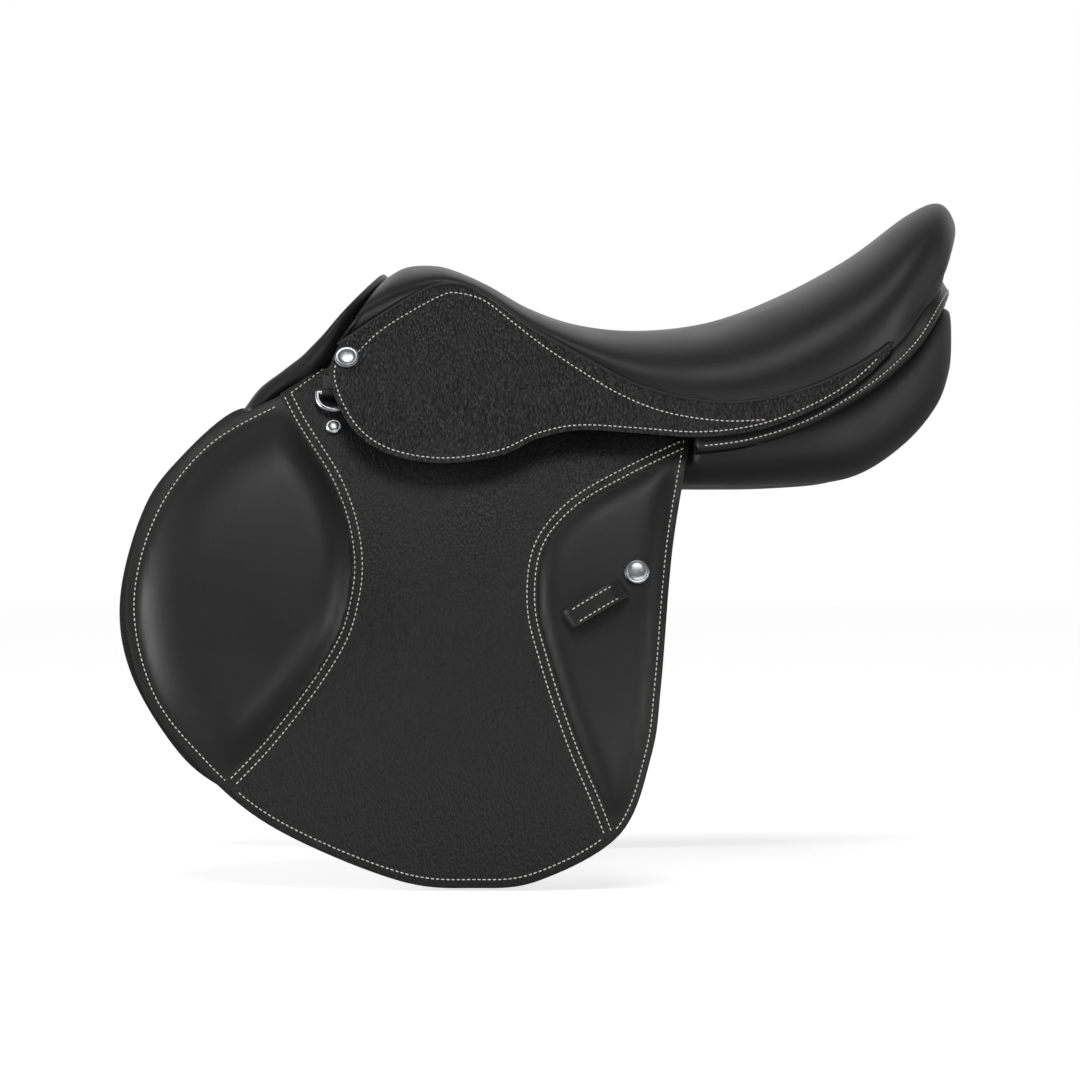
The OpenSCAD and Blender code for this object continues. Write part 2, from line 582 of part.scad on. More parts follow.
bar_place = on_seat(bar_share);
bar_level = seat_gap + bar_base_t + bar_slot;
module bar_rivet_places() for (s = bar_rivet_shares)
    at_side(bar_place, flap_t) translate([s * bar_len, 0, 0]) children();
module stirrup_bar() color(steel) at_side(bar_place, flap_t) difference() {
    union() {
        translate([0, -base_w / 2, seat_gap]) cube([bar_len, base_w, bar_base_t]);
        translate([0, -base_w / 2, seat_gap]) cube([boss_len / 2, base_w, bar_level + bar_t - seat_gap]);
        translate([0, -bar_w / 2, bar_level]) cube([bar_len - catch_eye_r, bar_w, bar_t]);
        translate([bar_len - catch_eye_r, 0, bar_level]) cylinder(h = bar_t, r = bar_w / 2);
    }
    for (s = bar_rivet_shares) translate([s * bar_len, 0, 0])
        cylinder(h = bar_level - overrun, r = rivet_r + pin_gap);
    for (s = bar_rivet_shares) translate([s * bar_len, 0, seat_gap + bar_base_t])
        cylinder(h = bar_slot, r = rivet_head_r + pin_gap);
    translate([bar_len - 2 * catch_eye_r - seat_gap, -bar_w, bar_level + ear_t])
        cube([2 * catch_eye_r + bar_w, 2 * bar_w, bar_t - 2 * ear_t]);
    translate([bar_len - catch_eye_r, 0, 0]) cylinder(h = 4 * bar_level, r = catch_pin_r);
}
module bar_rivets_side() bar_rivet_places() {
    translate([0, 0, -flap_t - plate_t - layer_gap]) cylinder(h = flap_t + plate_t + layer_gap + seat_gap + bar_base_t, r = rivet_r);
    translate([0, 0, seat_gap + bar_base_t]) cylinder(h = rivet_head_h, r = rivet_head_r);
    translate([0, 0, -flap_t - plate_t - layer_gap - rivet_head_h - seat_gap])
        cylinder(h = rivet_head_h + seat_gap / 2, r = rivet_head_r);
    translate([0, 0, -flap_t - plate_t - layer_gap - rivet_head_h]) cylinder(h = rivet_head_h, r = rivet_r);
}
module bar_rivets() color(steel) {
    bar_rivets_side();
    far_side() bar_rivets_side();
}
module bar_catch() color(steel) at_side(bar_place, flap_t)
    translate([bar_len - catch_eye_r, 0, bar_level + ear_t + seat_gap / 2]) difference() {
        linear_extrude(bar_t - 2 * ear_t - seat_gap) {
            circle(catch_eye_r - seat_gap);
            translate([0, -catch_tip_r]) square([catch_len, 2 * catch_tip_r]);
            translate([catch_len, 0]) circle(catch_tip_r);
        }
        translate([0, 0, -overrun]) cylinder(h = bar_t, r = catch_pin_r + pin_gap);
    }
module catch_pin() at_side(bar_place, flap_t)
    translate([bar_len - catch_eye_r, 0, bar_level]) cylinder(h = bar_t, r = catch_pin_r);
module catch_pins() color(steel) {
    catch_pin();
    far_side() catch_pin();
}

// Front ring and its chape

ring_place = on_seat(ring_share);
ring_level = seat_gap + chape_t + wire_d / 2;
module d_ring() color(nickel) at_side(ring_place, flap_t) translate([0, 0, ring_level]) {
    rotate([0, 90, 0]) cylinder(h = 2 * ring_r, r = wire_d / 2, center = true);
    translate([0, -ring_r / 4, 0]) mirror([0, 1, 0]) rotate_extrude(angle = 180) translate([ring_r, 0]) circle(wire_d / 2);
    for (s = [-1, 1]) translate([s * ring_r, 0, 0]) {
        sphere(wire_d / 2);
        rotate([90, 0, 0]) cylinder(h = ring_r / 4, r = wire_d / 2);
    }
}
module ring_chape() color(leather_black) at_side(ring_place, flap_t) rotate([0, 90, 0])
    linear_extrude(chape_w, center = true) difference() {
        union() {
            translate([-ring_level, 0]) circle(wire_d / 2 + chape_t);
            translate([-seat_gap - chape_t, 0]) square([chape_t, chape_len]);
        }
        translate([-ring_level, 0]) circle(wire_d / 2 + pin_gap);
        translate([-seat_gap, -chape_len]) square(2 * chape_len);
    }

// Nails: a domed head with a milled collar on a plain shank

module nail(d, shank) {
    rotate_extrude() polygon(concat([[0, -shank], [shank_r, -shank], [shank_r, 0], [d / 2, 0], [d / 2, nail_dome / 3]],
        [for (a = [15:15:90]) [d / 2 * cos(a), nail_dome / 3 + nail_dome * 2 / 3 * sin(a)]]));
}
module skirt_nail() at_side(on_seat(nail_share), skirt_off + skirt_t) translate([0, 0, seat_gap]) nail(nail_d, skirt_t);
module skirt_nails() color(nickel) {
    skirt_nail();
    far_side() skirt_nail();
}
module point_nail() at_side(on_seat(point_nail_share), flap_t) translate([0, 0, seat_gap]) nail(point_nail_d, flap_t);
module point_nails() color(nickel) {
    point_nail();
    far_side() point_nail();
}
module flap_nail() color(nickel) at_side(on_flap(flap_nail_share), flap_t)
    translate([0, 0, thigh_crown + seat_gap]) nail(nail_d, thigh_crown + flap_t);

// Keeper: a short strap sewn down at both ends
module keeper() color(leather_black) at_side(on_flap(keeper_share), flap_t) translate([0, 0, thigh_crown + seat_gap])
    rotate([0, 0, keeper_angle]) rotate([90, 0, 0]) linear_extrude(keeper_w, center = true) difference() {
        polygon([[-keeper_len / 2, 0], [-keeper_len / 2, keeper_t], [-keeper_len / 2 + keeper_foot, keeper_gap + keeper_t],
            [keeper_len / 2 - keeper_foot, keeper_gap + keeper_t], [keeper_len / 2, keeper_t], [keeper_len / 2, 0]]);
        polygon([[-keeper_len / 2 + keeper_foot, -overrun], [-keeper_len / 2 + keeper_foot, keeper_gap - keeper_t],
            [-keeper_len / 2 + keeper_foot + keeper_t, keeper_gap], [keeper_len / 2 - keeper_foot - keeper_t, keeper_gap],
            [keeper_len / 2 - keeper_foot, keeper_gap - keeper_t], [keeper_len / 2 - keeper_foot, -overrun]]);
    }

tree();
gullet_plate();
head_rivets();
straining_web();
girth_web(girth_web_rows[0]);  // girth_web_front
girth_web(girth_web_rows[1]);  // girth_web_rear
seat_foam();
seat_cover();
panel();  // panel_left
far_side() panel();  // panel_right
front_roll();
rear_facing();
sweat_flap();  // sweat_flap_left
far_side() sweat_flap();  // sweat_flap_right
knee_block();  // knee_block_left
far_side() knee_block();  // knee_block_right
thigh_block();  // thigh_block_left
far_side() thigh_block();  // thigh_block_right
flap_top();  // flap_top_left
far_side() flap_top();  // flap_top_right
knee_pad_top();  // knee_pad_top_left
far_side() knee_pad_top();  // knee_pad_top_right
skirt_band();  // skirt_band_left
far_side() skirt_band();  // skirt_band_right
skirt_nails();
stirrup_bar();  // stirrup_bar_left
far_side() stirrup_bar();  // stirrup_bar_right
bar_rivets();
catch_pins();
ring_chape();  // ring_chape_left
far_side() ring_chape();  // ring_chape_right
point_nails();
flap();  // flap_left
far_side() flap();  // flap_right
knee_pad();  // knee_pad_left
far_side() knee_pad();  // knee_pad_right
thigh_pad();  // thigh_pad_left
far_side() thigh_pad();  // thigh_pad_right
keeper();  // keeper_left
far_side() keeper();  // keeper_right
flap_nail();  // flap_nail_left
far_side() flap_nail();  // flap_nail_right
skirt();  // skirt_left
far_side() skirt();  // skirt_right
girth_strap(0);  // girth_strap_front_left
girth_strap(1);  // girth_strap_middle_left
girth_strap(2);  // girth_strap_rear_left
far_side() girth_strap(0);  // girth_strap_front_right
far_side() girth_strap(1);  // girth_strap_middle_right
far_side() girth_strap(2);  // girth_strap_rear_right
d_ring();  // d_ring_left
far_side() d_ring();  // d_ring_right
bar_catch();  // bar_catch_left
far_side() bar_catch();  // bar_catch_right
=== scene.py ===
# %% [markdown]
# # A black leather jumping saddle
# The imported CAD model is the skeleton: it fixes every size and every joint. This lesson dresses it.
# Metal and wood keep their CAD solids and only get a finish. All that is soft, the leather, the stuffing
# and the webs, is modelled again here, because leather has rolled edges, crowns and stitches.

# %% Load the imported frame
import math

import bmesh
import bpy
from mathutils import Matrix, Vector


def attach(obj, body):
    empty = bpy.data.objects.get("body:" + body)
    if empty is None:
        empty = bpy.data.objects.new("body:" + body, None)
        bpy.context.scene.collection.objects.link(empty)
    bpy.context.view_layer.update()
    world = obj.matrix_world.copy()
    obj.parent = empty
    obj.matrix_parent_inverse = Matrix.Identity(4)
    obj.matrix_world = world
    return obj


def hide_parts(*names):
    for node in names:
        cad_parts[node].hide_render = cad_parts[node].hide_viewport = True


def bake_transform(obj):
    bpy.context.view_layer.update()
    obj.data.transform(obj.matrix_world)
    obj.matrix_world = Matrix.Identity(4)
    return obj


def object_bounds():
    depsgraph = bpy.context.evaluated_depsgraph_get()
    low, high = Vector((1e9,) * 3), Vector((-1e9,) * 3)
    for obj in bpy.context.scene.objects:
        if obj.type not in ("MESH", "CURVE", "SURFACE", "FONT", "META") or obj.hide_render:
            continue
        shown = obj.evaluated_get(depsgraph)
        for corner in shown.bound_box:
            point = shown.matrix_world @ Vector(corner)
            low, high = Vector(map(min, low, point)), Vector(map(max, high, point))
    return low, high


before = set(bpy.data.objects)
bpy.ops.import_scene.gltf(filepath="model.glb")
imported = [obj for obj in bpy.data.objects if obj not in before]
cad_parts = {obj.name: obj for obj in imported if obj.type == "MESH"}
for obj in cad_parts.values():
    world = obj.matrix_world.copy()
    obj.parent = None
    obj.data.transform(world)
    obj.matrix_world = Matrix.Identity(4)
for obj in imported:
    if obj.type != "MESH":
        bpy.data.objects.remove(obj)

MM = 0.001
cad_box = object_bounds()
print("CAD box", [[round(c, 4) for c in corner] for corner in cad_box])


def add_object(name, data):
    made = bpy.data.objects.new(name, data)
    bpy.context.scene.collection.objects.link(made)
    return made



# %% [markdown]
# ## The camera
# The photograph looks straight at the near side, level with the flap. The distance and the lens are chosen
# together: three metres away, so that the nearer flap is only a little larger than the far one, and a lens
# that fits 783 mm at the middle of the saddle into the picture's width.

# %% Camera at the photograph's view
VIEW_DISTANCE = 3.0
VIEW_WIDTH = 0.783
camera = add_object("camera", bpy.data.cameras.new("camera"))
camera.data.sensor_width = 36.0
camera.data.lens = camera.data.sensor_width * VIEW_DISTANCE / VIEW_WIDTH
camera.location = (-0.0725, -VIEW_DISTANCE, -0.0362)
camera.rotation_euler = (math.radians(90), 0, 0)
bpy.context.scene.camera = camera
print("lens", round(camera.data.lens, 1), "mm")

# %% [markdown]
# ## Finishes
# Every finish is a node material. One function turns the colours from sRGB hex to linear, one gives a node
# its values and links, and one adds a node. Patterns read Object coordinates in metres, so a grain of two
# millimetres has a scale of one over 0.002.

# %% Helpers for materials
def linear(code):
    parts = [int(code[i:i + 2], 16) / 255 for i in (1, 3, 5)]
    return [c / 12.92 if c <= 0.04045 else ((c + 0.055) / 1.055) ** 2.4 for c in parts] + [1.0]


def feed(tree, node, inputs):
    for key, value in inputs.items():
        if isinstance(value, bpy.types.NodeSocket):
            tree.links.new(value, node.inputs[key])
        else:
            node.inputs[key].default_value = value


def add_node(tree, kind, inputs=None, **settings):
    made = tree.nodes.new(kind)
    for key, value in settings.items():
        setattr(made, key, value)
    feed(tree, made, inputs or {})
    return made


def new_finish(name):
    material = bpy.data.materials.new(name)
    material.use_nodes = True
    shader = material.node_tree.nodes["Principled BSDF"]
    return material, material.node_tree, shader


# %% [markdown]
# Black saddle leather is drum-dyed hide with a thin pigmented top coat. The coat gives it a soft, broad
# gloss, the hide's pores a fine bump, and handling makes some places a little duller than others. The
# grip leather of skirts and flap middles is the same hide, milled until its grain stands up in pebbles. The
# hollows between the pebbles are darkened in the colour, a painted shade, the more so for a deeper relief.

# %% Leather finishes
WEAR_PATCH_MM = 55
CREASE_PER_PEBBLE = 2.2
# Painted shade: the hollows between the pebbles are darkened towards this near-black, by at most this share
HOLLOW_SHADE, MOST_HOLLOW_SHADE = "#030303", 0.8
SHINIER, DULLER = 0.04, 0.05
LEATHER_SHEEN = 0.3


def colour_of(mixed):
    return [s for s in mixed.outputs if s.type == "RGBA"][0]


def leather(name, tone, worn_tone, gloss, pebble_mm, relief_mm, stretch):
    material, tree, shader = new_finish(name)
    place = add_node(tree, "ShaderNodeTexCoord").outputs["Object"]
    long_grain = add_node(tree, "ShaderNodeMapping", {
        "Vector": place, "Scale": (1, stretch, stretch)}).outputs["Vector"]
    pebbles = add_node(tree, "ShaderNodeTexVoronoi", {
        "Vector": long_grain, "Scale": 1 / (pebble_mm * MM), "Randomness": 1.0}, feature="F1")
    creases = add_node(tree, "ShaderNodeTexNoise", {
        "Vector": long_grain, "Scale": 1 / (CREASE_PER_PEBBLE * pebble_mm * MM), "Detail": 4.0,
        "Roughness": 0.6})
    patches = add_node(tree, "ShaderNodeTexNoise", {
        "Vector": place, "Scale": 1 / (WEAR_PATCH_MM * MM), "Detail": 3.0})
    height = add_node(tree, "ShaderNodeMath", {0: pebbles.outputs["Distance"], 1: creases.outputs["Fac"]},
                      operation="SUBTRACT")
    relief = add_node(tree, "ShaderNodeBump", {
        "Height": height.outputs[0], "Distance": relief_mm * MM, "Strength": 1.0}, invert=True)
    toned = add_node(tree, "ShaderNodeMix", {
        "Factor": patches.outputs["Fac"], "A": linear(tone), "B": linear(worn_tone)}, data_type="RGBA")
    # Painted shade: the colour is darkened in the hollows between the pebbles, the more so for a deeper
    # relief
    hollows = add_node(tree, "ShaderNodeMapRange", {
        "Value": pebbles.outputs["Distance"], "From Min": 0.35, "From Max": 0.75,
        "To Max": min(MOST_HOLLOW_SHADE, relief_mm)})
    hollow_shaded = add_node(tree, "ShaderNodeMix", {
        "Factor": hollows.outputs["Result"], "A": colour_of(toned), "B": linear(HOLLOW_SHADE)},
        data_type="RGBA")
    dull = add_node(tree, "ShaderNodeMapRange", {
        "Value": patches.outputs["Fac"], "From Min": 0.3, "From Max": 0.7,
        "To Min": gloss - SHINIER, "To Max": gloss + DULLER})
    feed(tree, shader, {
        "Base Color": colour_of(hollow_shaded), "Roughness": dull.outputs["Result"],
        "Normal": relief.outputs["Normal"], "Specular IOR Level": LEATHER_SHEEN})
    return material


smooth_leather = leather("pigmented_smooth_leather", "#181818", "#1f1f1f", 0.40, 0.8, 0.04, 1.0)
grip_leather = leather("milled_grip_leather", "#171718", "#202021", 0.40, 1.5, 0.42, 0.6)
skirt_leather = leather("long_grain_skirt_leather", "#1a1a1b", "#262627", 0.33, 2.0, 0.90, 0.5)
panel_leather = leather("soft_panel_leather", "#141414", "#191919", 0.46, 1.0, 0.06, 1.0)
print("leathers", [m.name for m in (smooth_leather, grip_leather, skirt_leather, panel_leather)])

# %% Thread, metals, wood, linen and foam
def clouded(name, tones, scale_mm, spread, roughness, metallic=0.0, relief_mm=0.0, turn=(1, 1, 1)):
    material, tree, shader = new_finish(name)
    place = add_node(tree, "ShaderNodeTexCoord").outputs["Object"]
    turned = add_node(tree, "ShaderNodeMapping", {"Vector": place, "Scale": turn}).outputs["Vector"]
    clouds = add_node(tree, "ShaderNodeTexNoise", {"Vector": turned, "Scale": 1 / (scale_mm * MM)})
    value = clouds.outputs["Fac"]
    ramp = add_node(tree, "ShaderNodeValToRGB", {"Fac": value})
    for element, position, tone in zip(ramp.color_ramp.elements, spread, tones):
        element.position = position
        element.color = linear(tone)
    rough = add_node(tree, "ShaderNodeMapRange", {
        "Value": value, "To Min": roughness[0], "To Max": roughness[1]})
    feed(tree, shader, {
        "Base Color": ramp.outputs["Color"], "Roughness": rough.outputs["Result"], "Metallic": metallic})
    if relief_mm:
        relief = add_node(tree, "ShaderNodeBump", {"Height": value, "Distance": relief_mm * MM})
        feed(tree, shader, {"Normal": relief.outputs["Normal"]})
    return material


# Waxed polyester thread: cream, matt, with the darker gaps of its twist
thread = clouded("waxed_cream_thread", ("#cfcbbf", "#ebe8de"), 0.8, (0.35, 0.6), (0.55, 0.75), relief_mm=0.1)
# Nickel plate: bright, with the faint clouds that polishing leaves
nickel = clouded("polished_nickel_plate", ("#9a9b9e", "#b4b5b8"), 6, (0.3, 0.7), (0.20, 0.32), metallic=1.0)
# Forged steel, brushed along the saddle
steel = clouded("brushed_steel", ("#7c7f83", "#a2a5a9"), 1.2,
                (0.3, 0.7), (0.28, 0.42), metallic=1.0, relief_mm=0.03, turn=(0.08, 1, 1))
# Beech plies pressed in a mould, the long grain along the saddle
beech = clouded("laminated_beech", ("#8f6337", "#c79a66"), 4,
                (0.3, 0.7), (0.45, 0.6), relief_mm=0.1, turn=(0.06, 1, 1))
# Linen web, its threads drawn twice their real width so that they show
linen = clouded("woven_linen_web", ("#a89d80", "#ddd4bb"), 1.4,
                (0.35, 0.65), (0.75, 0.9), relief_mm=0.4, turn=(0.2, 1, 1))
# Latex foam, off white with fine open cells
foam = clouded("latex_foam", ("#cfc8b2", "#ece7d8"), 2, (0.35, 0.65), (0.85, 0.95), relief_mm=0.3)
print("other finishes", [m.name for m in (thread, nickel, steel, beech, linen, foam)])

# %% [markdown]
# ## Lines and surfaces
# All leather on the sides lies on one cylinder, the barrel, in layers. So each piece is drawn flat, as a
# pattern cutter does, and then laid on the barrel at its own offset. The seat is a surface between two
# lines, its crown and its seam. The numbers repeat the CAD model's, in millimetres.

# %% The barrel, and smooth lines through a few points
BARREL_R, HALF_SPAN, SPAN_DROP = 580, 185, 230
SEAT_LEN, SEAT_H = 406, 207
FLAP_W, FLAP_H, FLAP_T = 388, 339, 5
SKIRT_OFF, SKIRT_T = 20, 4.5
SEAM_OFF = SKIRT_OFF + SKIRT_T / 2


def side_y(z, off):
    return BARREL_R - HALF_SPAN - math.sqrt((BARREL_R + off) ** 2 - (z + SPAN_DROP) ** 2)


def on_side(x, z, off):
    return Vector((x, side_y(z, off), z))


def side_normal(z, off):
    sine = (z + SPAN_DROP) / (BARREL_R + off)
    return Vector((0, -math.sqrt(1 - sine * sine), sine))


def spline_at(points, t):
    last = len(points) - 1
    k = min(int(t * last), last - 1)
    f = t * last - k
    a, b, c, d = (Vector(points[i]) for i in (max(k - 1, 0), k, k + 1, min(k + 2, last)))
    return (2 * b + (c - a) * f + (2 * a - 5 * b + 4 * c - d) * f * f + (3 * b - a - 3 * c + d) * f ** 3) / 2


def heading(path, t, step, first=0):
    return (path(min(t + step, 1)) - path(max(t - step, first))).normalized()


def spline(points, steps):
    return [spline_at(points, i / steps) for i in range(steps + 1)]


def scaled(shares, wide, high):
    return [Vector((s[0] * wide, s[1] * high)) for s in shares]


def evenly(points, pitch):
    lengths = [(b - a).length for a, b in zip(points, points[1:])]
    total = sum(lengths)
    count = max(2, round(total / pitch))
    made, at, k = [points[0]], 0.0, 0
    for i in range(1, count):
        want = total * i / count
        while at + lengths[k] < want:
            at += lengths[k]
            k += 1
        made.append(points[k].lerp(points[k + 1], (want - at) / lengths[k]))
    return made + [points[-1]]


def shifted(points, distance):
    made = []
    for i, p in enumerate(points):
        along = points[min(i + 1, len(points) - 1)] - points[max(i - 1, 0)]
        made.append(p + Vector((-along.y, along.x)).normalized() * distance)
    return made


def nearest(line, p):
    best = 1e9
    for a, b in zip(line, line[1:]):
        ab = b - a
        t = max(0.0, min(1.0, (p - a).dot(ab) / ab.length_squared))
        best = min(best, (p - a - ab * t).length_squared)
    return math.sqrt(best)


# %% From a bmesh to a finished piece, on one side or on both
SIDES = ("left", "right")


def finish_piece(name, bm, material, smooth_angle=40):
    bmesh.ops.recalc_face_normals(bm, faces=bm.faces)
    bmesh.ops.scale(bm, vec=(MM, MM, MM), verts=bm.verts)
    mesh = bpy.data.meshes.new(name)
    bm.to_mesh(mesh)
    bm.free()
    mesh.materials.append(material)
    piece = add_object(name, mesh)
    mesh.shade_smooth()
    if smooth_angle:
        mesh.set_sharp_from_angle(angle=math.radians(smooth_angle))
    print(name, len(mesh.polygons), "faces")
    return piece


def pair(name, build, material, smooth_angle=40):
    left = build()
    right = left.copy()
    bmesh.ops.scale(right, vec=(1, -1, 1), verts=right.verts)
    return [finish_piece(name + "_" + side, bm, material, smooth_angle)
            for side, bm in zip(SIDES, (left, right))]


def fit(piece, node=None, body="saddle"):
    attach(piece, body)
    if node:
        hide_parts(node)


def fit_both(pieces, node):
    for piece, side in zip(pieces, SIDES):
        fit(piece, node + "_" + side)


# %% Forms made from a grid, and sheets given a thickness
def gridded(rows, cols, place):
    bm = bmesh.new()
    bmesh.ops.create_grid(bm, x_segments=cols, y_segments=rows, size=1.0)
    for vert in bm.verts:
        vert.co = place((vert.co.y + 1) / 2, (vert.co.x + 1) / 2)
    return bm


def extruded(bm):
    grown = bmesh.ops.extrude_face_region(bm, geom=bm.faces[:])
    return [v for v in grown["geom"] if isinstance(v, bmesh.types.BMVert)]


def round_edges(bm, edges, offset, segments):
    bmesh.ops.bevel(bm, geom=edges, offset=offset, segments=segments, profile=0.5, affect="EDGES",
                    material=-1, clamp_overlap=True)


def thicken(bm, thick, rim, segments):
    bmesh.ops.translate(bm, verts=extruded(bm), vec=(0, thick, 0))
    walls = {f for f in bm.faces if len({round(v.co.y, 3) for v in f.verts}) == 2}
    rims = [e for e in bm.edges if len(walls.intersection(e.link_faces)) == 1]
    round_edges(bm, rims, rim, segments)


def face_up(bm):
    bmesh.ops.recalc_face_normals(bm, faces=bm.faces)
    if sum(f.normal.z for f in bm.faces) < 0:
        bmesh.ops.reverse_faces(bm, faces=bm.faces)


def rounder(value, power):
    return math.copysign(abs(value) ** power, value)


# %% A flat pattern of leather, with rounded edges, laid on the barrel
WELD, INSET_PER_RIM, MOST_RIM = 0.25, 2.2, 0.45


def leather_sheet(outline, thick, lay, rim=1.1, cell=10.0):
    bm = bmesh.new()
    bmesh.ops.create_circle(bm, cap_ends=True, segments=len(outline), radius=1.0)
    for vert, point in zip(bm.verts[:], outline):
        vert.co = (point[0], 0.0, point[1])
    bmesh.ops.inset_region(bm, faces=bm.faces[:], thickness=INSET_PER_RIM * rim, use_even_offset=True)
    for face in bm.faces:
        face.material_index = int(len(face.verts) > 4)
    for axis in (0, 2):
        low = min(p[axis // 2] for p in outline)
        high = max(p[axis // 2] for p in outline)
        for k in range(1, int((high - low) / cell) + 1):
            inner = [f for f in bm.faces if f.material_index == 1]
            edges = {e for f in inner for e in f.edges}
            verts = {v for f in inner for v in f.verts}
            parts = inner + list(edges) + list(verts)
            spot, way = Vector((0, 0, 0)), Vector((0, 0, 0))
            spot[axis] = low + k * cell
            way[axis] = 1
            bmesh.ops.bisect_plane(bm, geom=parts, plane_co=spot, plane_no=way, dist=0.01)
    for face in bm.faces:
        face.material_index = 0
    bmesh.ops.remove_doubles(bm, verts=bm.verts, dist=WELD)
    thicken(bm, thick, min(rim, MOST_RIM * thick), 3)
    for vert in bm.verts:
        vert.co = lay(vert.co.x, vert.co.z, vert.co.y)
    return bm


def layer(off):
    return lambda x, z, rise: on_side(x, z, off + rise)


def sheets(name, material, *pattern):
    return pair(name, lambda: leather_sheet(*pattern), material)


# %% [markdown]
# ## Stitches
# Saddlery is sewn with thick cream thread, about three stitches to the centimetre. A stitch is a short
# plump grain of thread, so each one is a small six-sided ball, drawn out along the seam. There are
# thousands, so each has only a few dozen faces.

# %% Rows of stitches
STITCH_PITCH, STITCH_LEN, STITCH_W = 3.5, 2.4, 0.9
ROW_BATCH = 40


def axes_at(across, up, out, middle):
    return Matrix([list(row) for row in zip(across, up, out, middle)] + [[0, 0, 0, 1]])


def sew_few(points, normals, lift):
    bm = bmesh.new()
    for a, b, normal in zip(points, points[1:], normals):
        way = (b - a).normalized()
        across = normal.cross(way).normalized()
        out = way.cross(across)
        middle = (a + b) / 2 + out * lift
        place = axes_at(across * STITCH_W / 2, out * STITCH_W / 2, way * STITCH_LEN / 2, middle)
        bmesh.ops.create_uvsphere(bm, u_segments=6, v_segments=5, radius=1.0, matrix=place)
    return bm


def sew(bm, points, normals, lift=0.1):
    for first in range(0, len(points) - 1, ROW_BATCH):
        few = sew_few(points[first:first + ROW_BATCH + 1], normals[first:], lift)
        batch = bpy.data.meshes.new("stitch_batch")
        few.to_mesh(batch)
        few.free()
        bm.from_mesh(batch)
        bpy.data.meshes.remove(batch)


def sew_side(bm, line, rise, lift=0.1):
    flat = evenly(line, STITCH_PITCH)
    points = [on_side(p.x, p.y, rise) for p in flat]
    sew(bm, points, [side_normal(p.y, 0) for p in flat], lift)


def sewn(name, rows):
    def build():
        bm = bmesh.new()
        for row in rows:
            sew_side(bm, *row)
        return bm
    return pair(name, build, thread, 0)


# %% [markdown]
# ## Seat
# The seat is a hide pulled over foam. A grid is laid over the surface between crown and seam by the same
# formula as the CAD solid, finely enough to look smooth, and given the hide's thickness. In front and behind
# the hide is turned under, so the foam stays out of sight. A thin welt closes the joint with the skirt.

# %% Seat lines and surface
CROWN = [(-0.443, 0.744), (-0.414, 0.775), (-0.374, 0.781), (-0.335, 0.766), (-0.271, 0.710), (-0.197, 0.628),
         (-0.108, 0.571), (0, 0.554), (0.123, 0.585), (0.246, 0.676), (0.369, 0.807), (0.473, 0.957),
         (0.530, 1), (0.557, 0.928), (0.549, 0.831), (0.537, 0.758)]
SEAM = [(-0.527, 0.483), (-0.468, 0.568), (-0.387, 0.669), (-0.335, 0.698), (-0.278, 0.664), (-0.194, 0.543),
        (-0.106, 0.441), (0, 0.335), (0.128, 0.285), (0.246, 0.313), (0.360, 0.404), (0.440, 0.514),
        (0.494, 0.640), (0.512, 0.693), (0.517, 0.710), (0.520, 0.720)]
SEAT_STATIONS = 30
SEAT_ROUND = 0.85
CORNER_ANGLE, CORNER_R = 0.7, 1.6
COVER_T, FOAM_DEPTH, FOAM_T = 2.5, 2.8, 9.0
crown_line = scaled(CROWN, SEAT_LEN, SEAT_H)
seam_line = scaled(SEAM, SEAT_LEN, SEAT_H)


def seat_point(t, breadth, depth=0.0):
    crown, seam = spline_at(crown_line, t), spline_at(seam_line, t)
    along = heading(lambda s: spline_at(crown_line, s), t, 1 / SEAT_STATIONS)
    normal = Vector((-along.y, along.x))
    cosine, sine = math.cos(breadth * math.pi / 2), math.sin(abs(breadth) * math.pi / 2)
    up = max(cosine, 0) ** SEAT_ROUND
    half = -side_y(seam.y, SEAM_OFF)
    across = half * sine ** SEAT_ROUND - depth * sine
    flat = seam.lerp(crown, up) - normal * depth * cosine
    return Vector((flat.x, math.copysign(across, breadth), flat.y))


def seat_hide(rows, cols, turned_rows, turned):
    all_rows = rows + 2 * turned_rows

    def place(u, v):
        row = round(u * all_rows) - turned_rows
        under = max(-row, row - rows, 0) / turned_rows
        return seat_point(min(max(row / rows, 0), 1), 2 * v - 1, turned * under)
    bm = gridded(all_rows, cols, place)
    face_up(bm)
    corners = [e for e in bm.edges if len(e.link_faces) == 2 and e.calc_face_angle() > CORNER_ANGLE]
    round_edges(bm, corners, CORNER_R, 3)
    bmesh.ops.solidify(bm, geom=bm.faces[:], thickness=COVER_T)
    return bm


def seat_layer(rows, cols, depth, thick, spread, ends):
    bm = bmesh.new()
    bmesh.ops.create_grid(bm, x_segments=cols, y_segments=rows, size=1.0)
    bmesh.ops.translate(bm, verts=extruded(bm), vec=(0, 0, 1))
    for vert in bm.verts:
        t = ends + (1 - 2 * ends) * (vert.co.y + 1) / 2
        vert.co = seat_point(t, spread * vert.co.x, depth + thick * vert.co.z)
    return bm


# %% Seat cover and foam
hide = seat_hide(rows=112, cols=64, turned_rows=4, turned=12.0)
seat = finish_piece("seat", hide, smooth_leather, 70)
fit(seat, "seat_cover")
foam_layer = seat_layer(rows=60, cols=40, depth=FOAM_DEPTH, thick=FOAM_T, spread=0.92, ends=0.02)
seat_foam = finish_piece("seat_foam_layer", foam_layer, foam, 70)
fit(seat_foam, "seat_foam")

# %% [markdown]
# ## Tubes
# The front roll, the rear facing, the panels and the welt are long stuffed forms. Each is a grid, wrapped
# round a path: one side of the grid runs along the path and the other round the section. The ends are drawn
# together, the seam is merged, and the tube is closed.

# %% Wrap a grid round a path
SEAM_WELD = 0.02


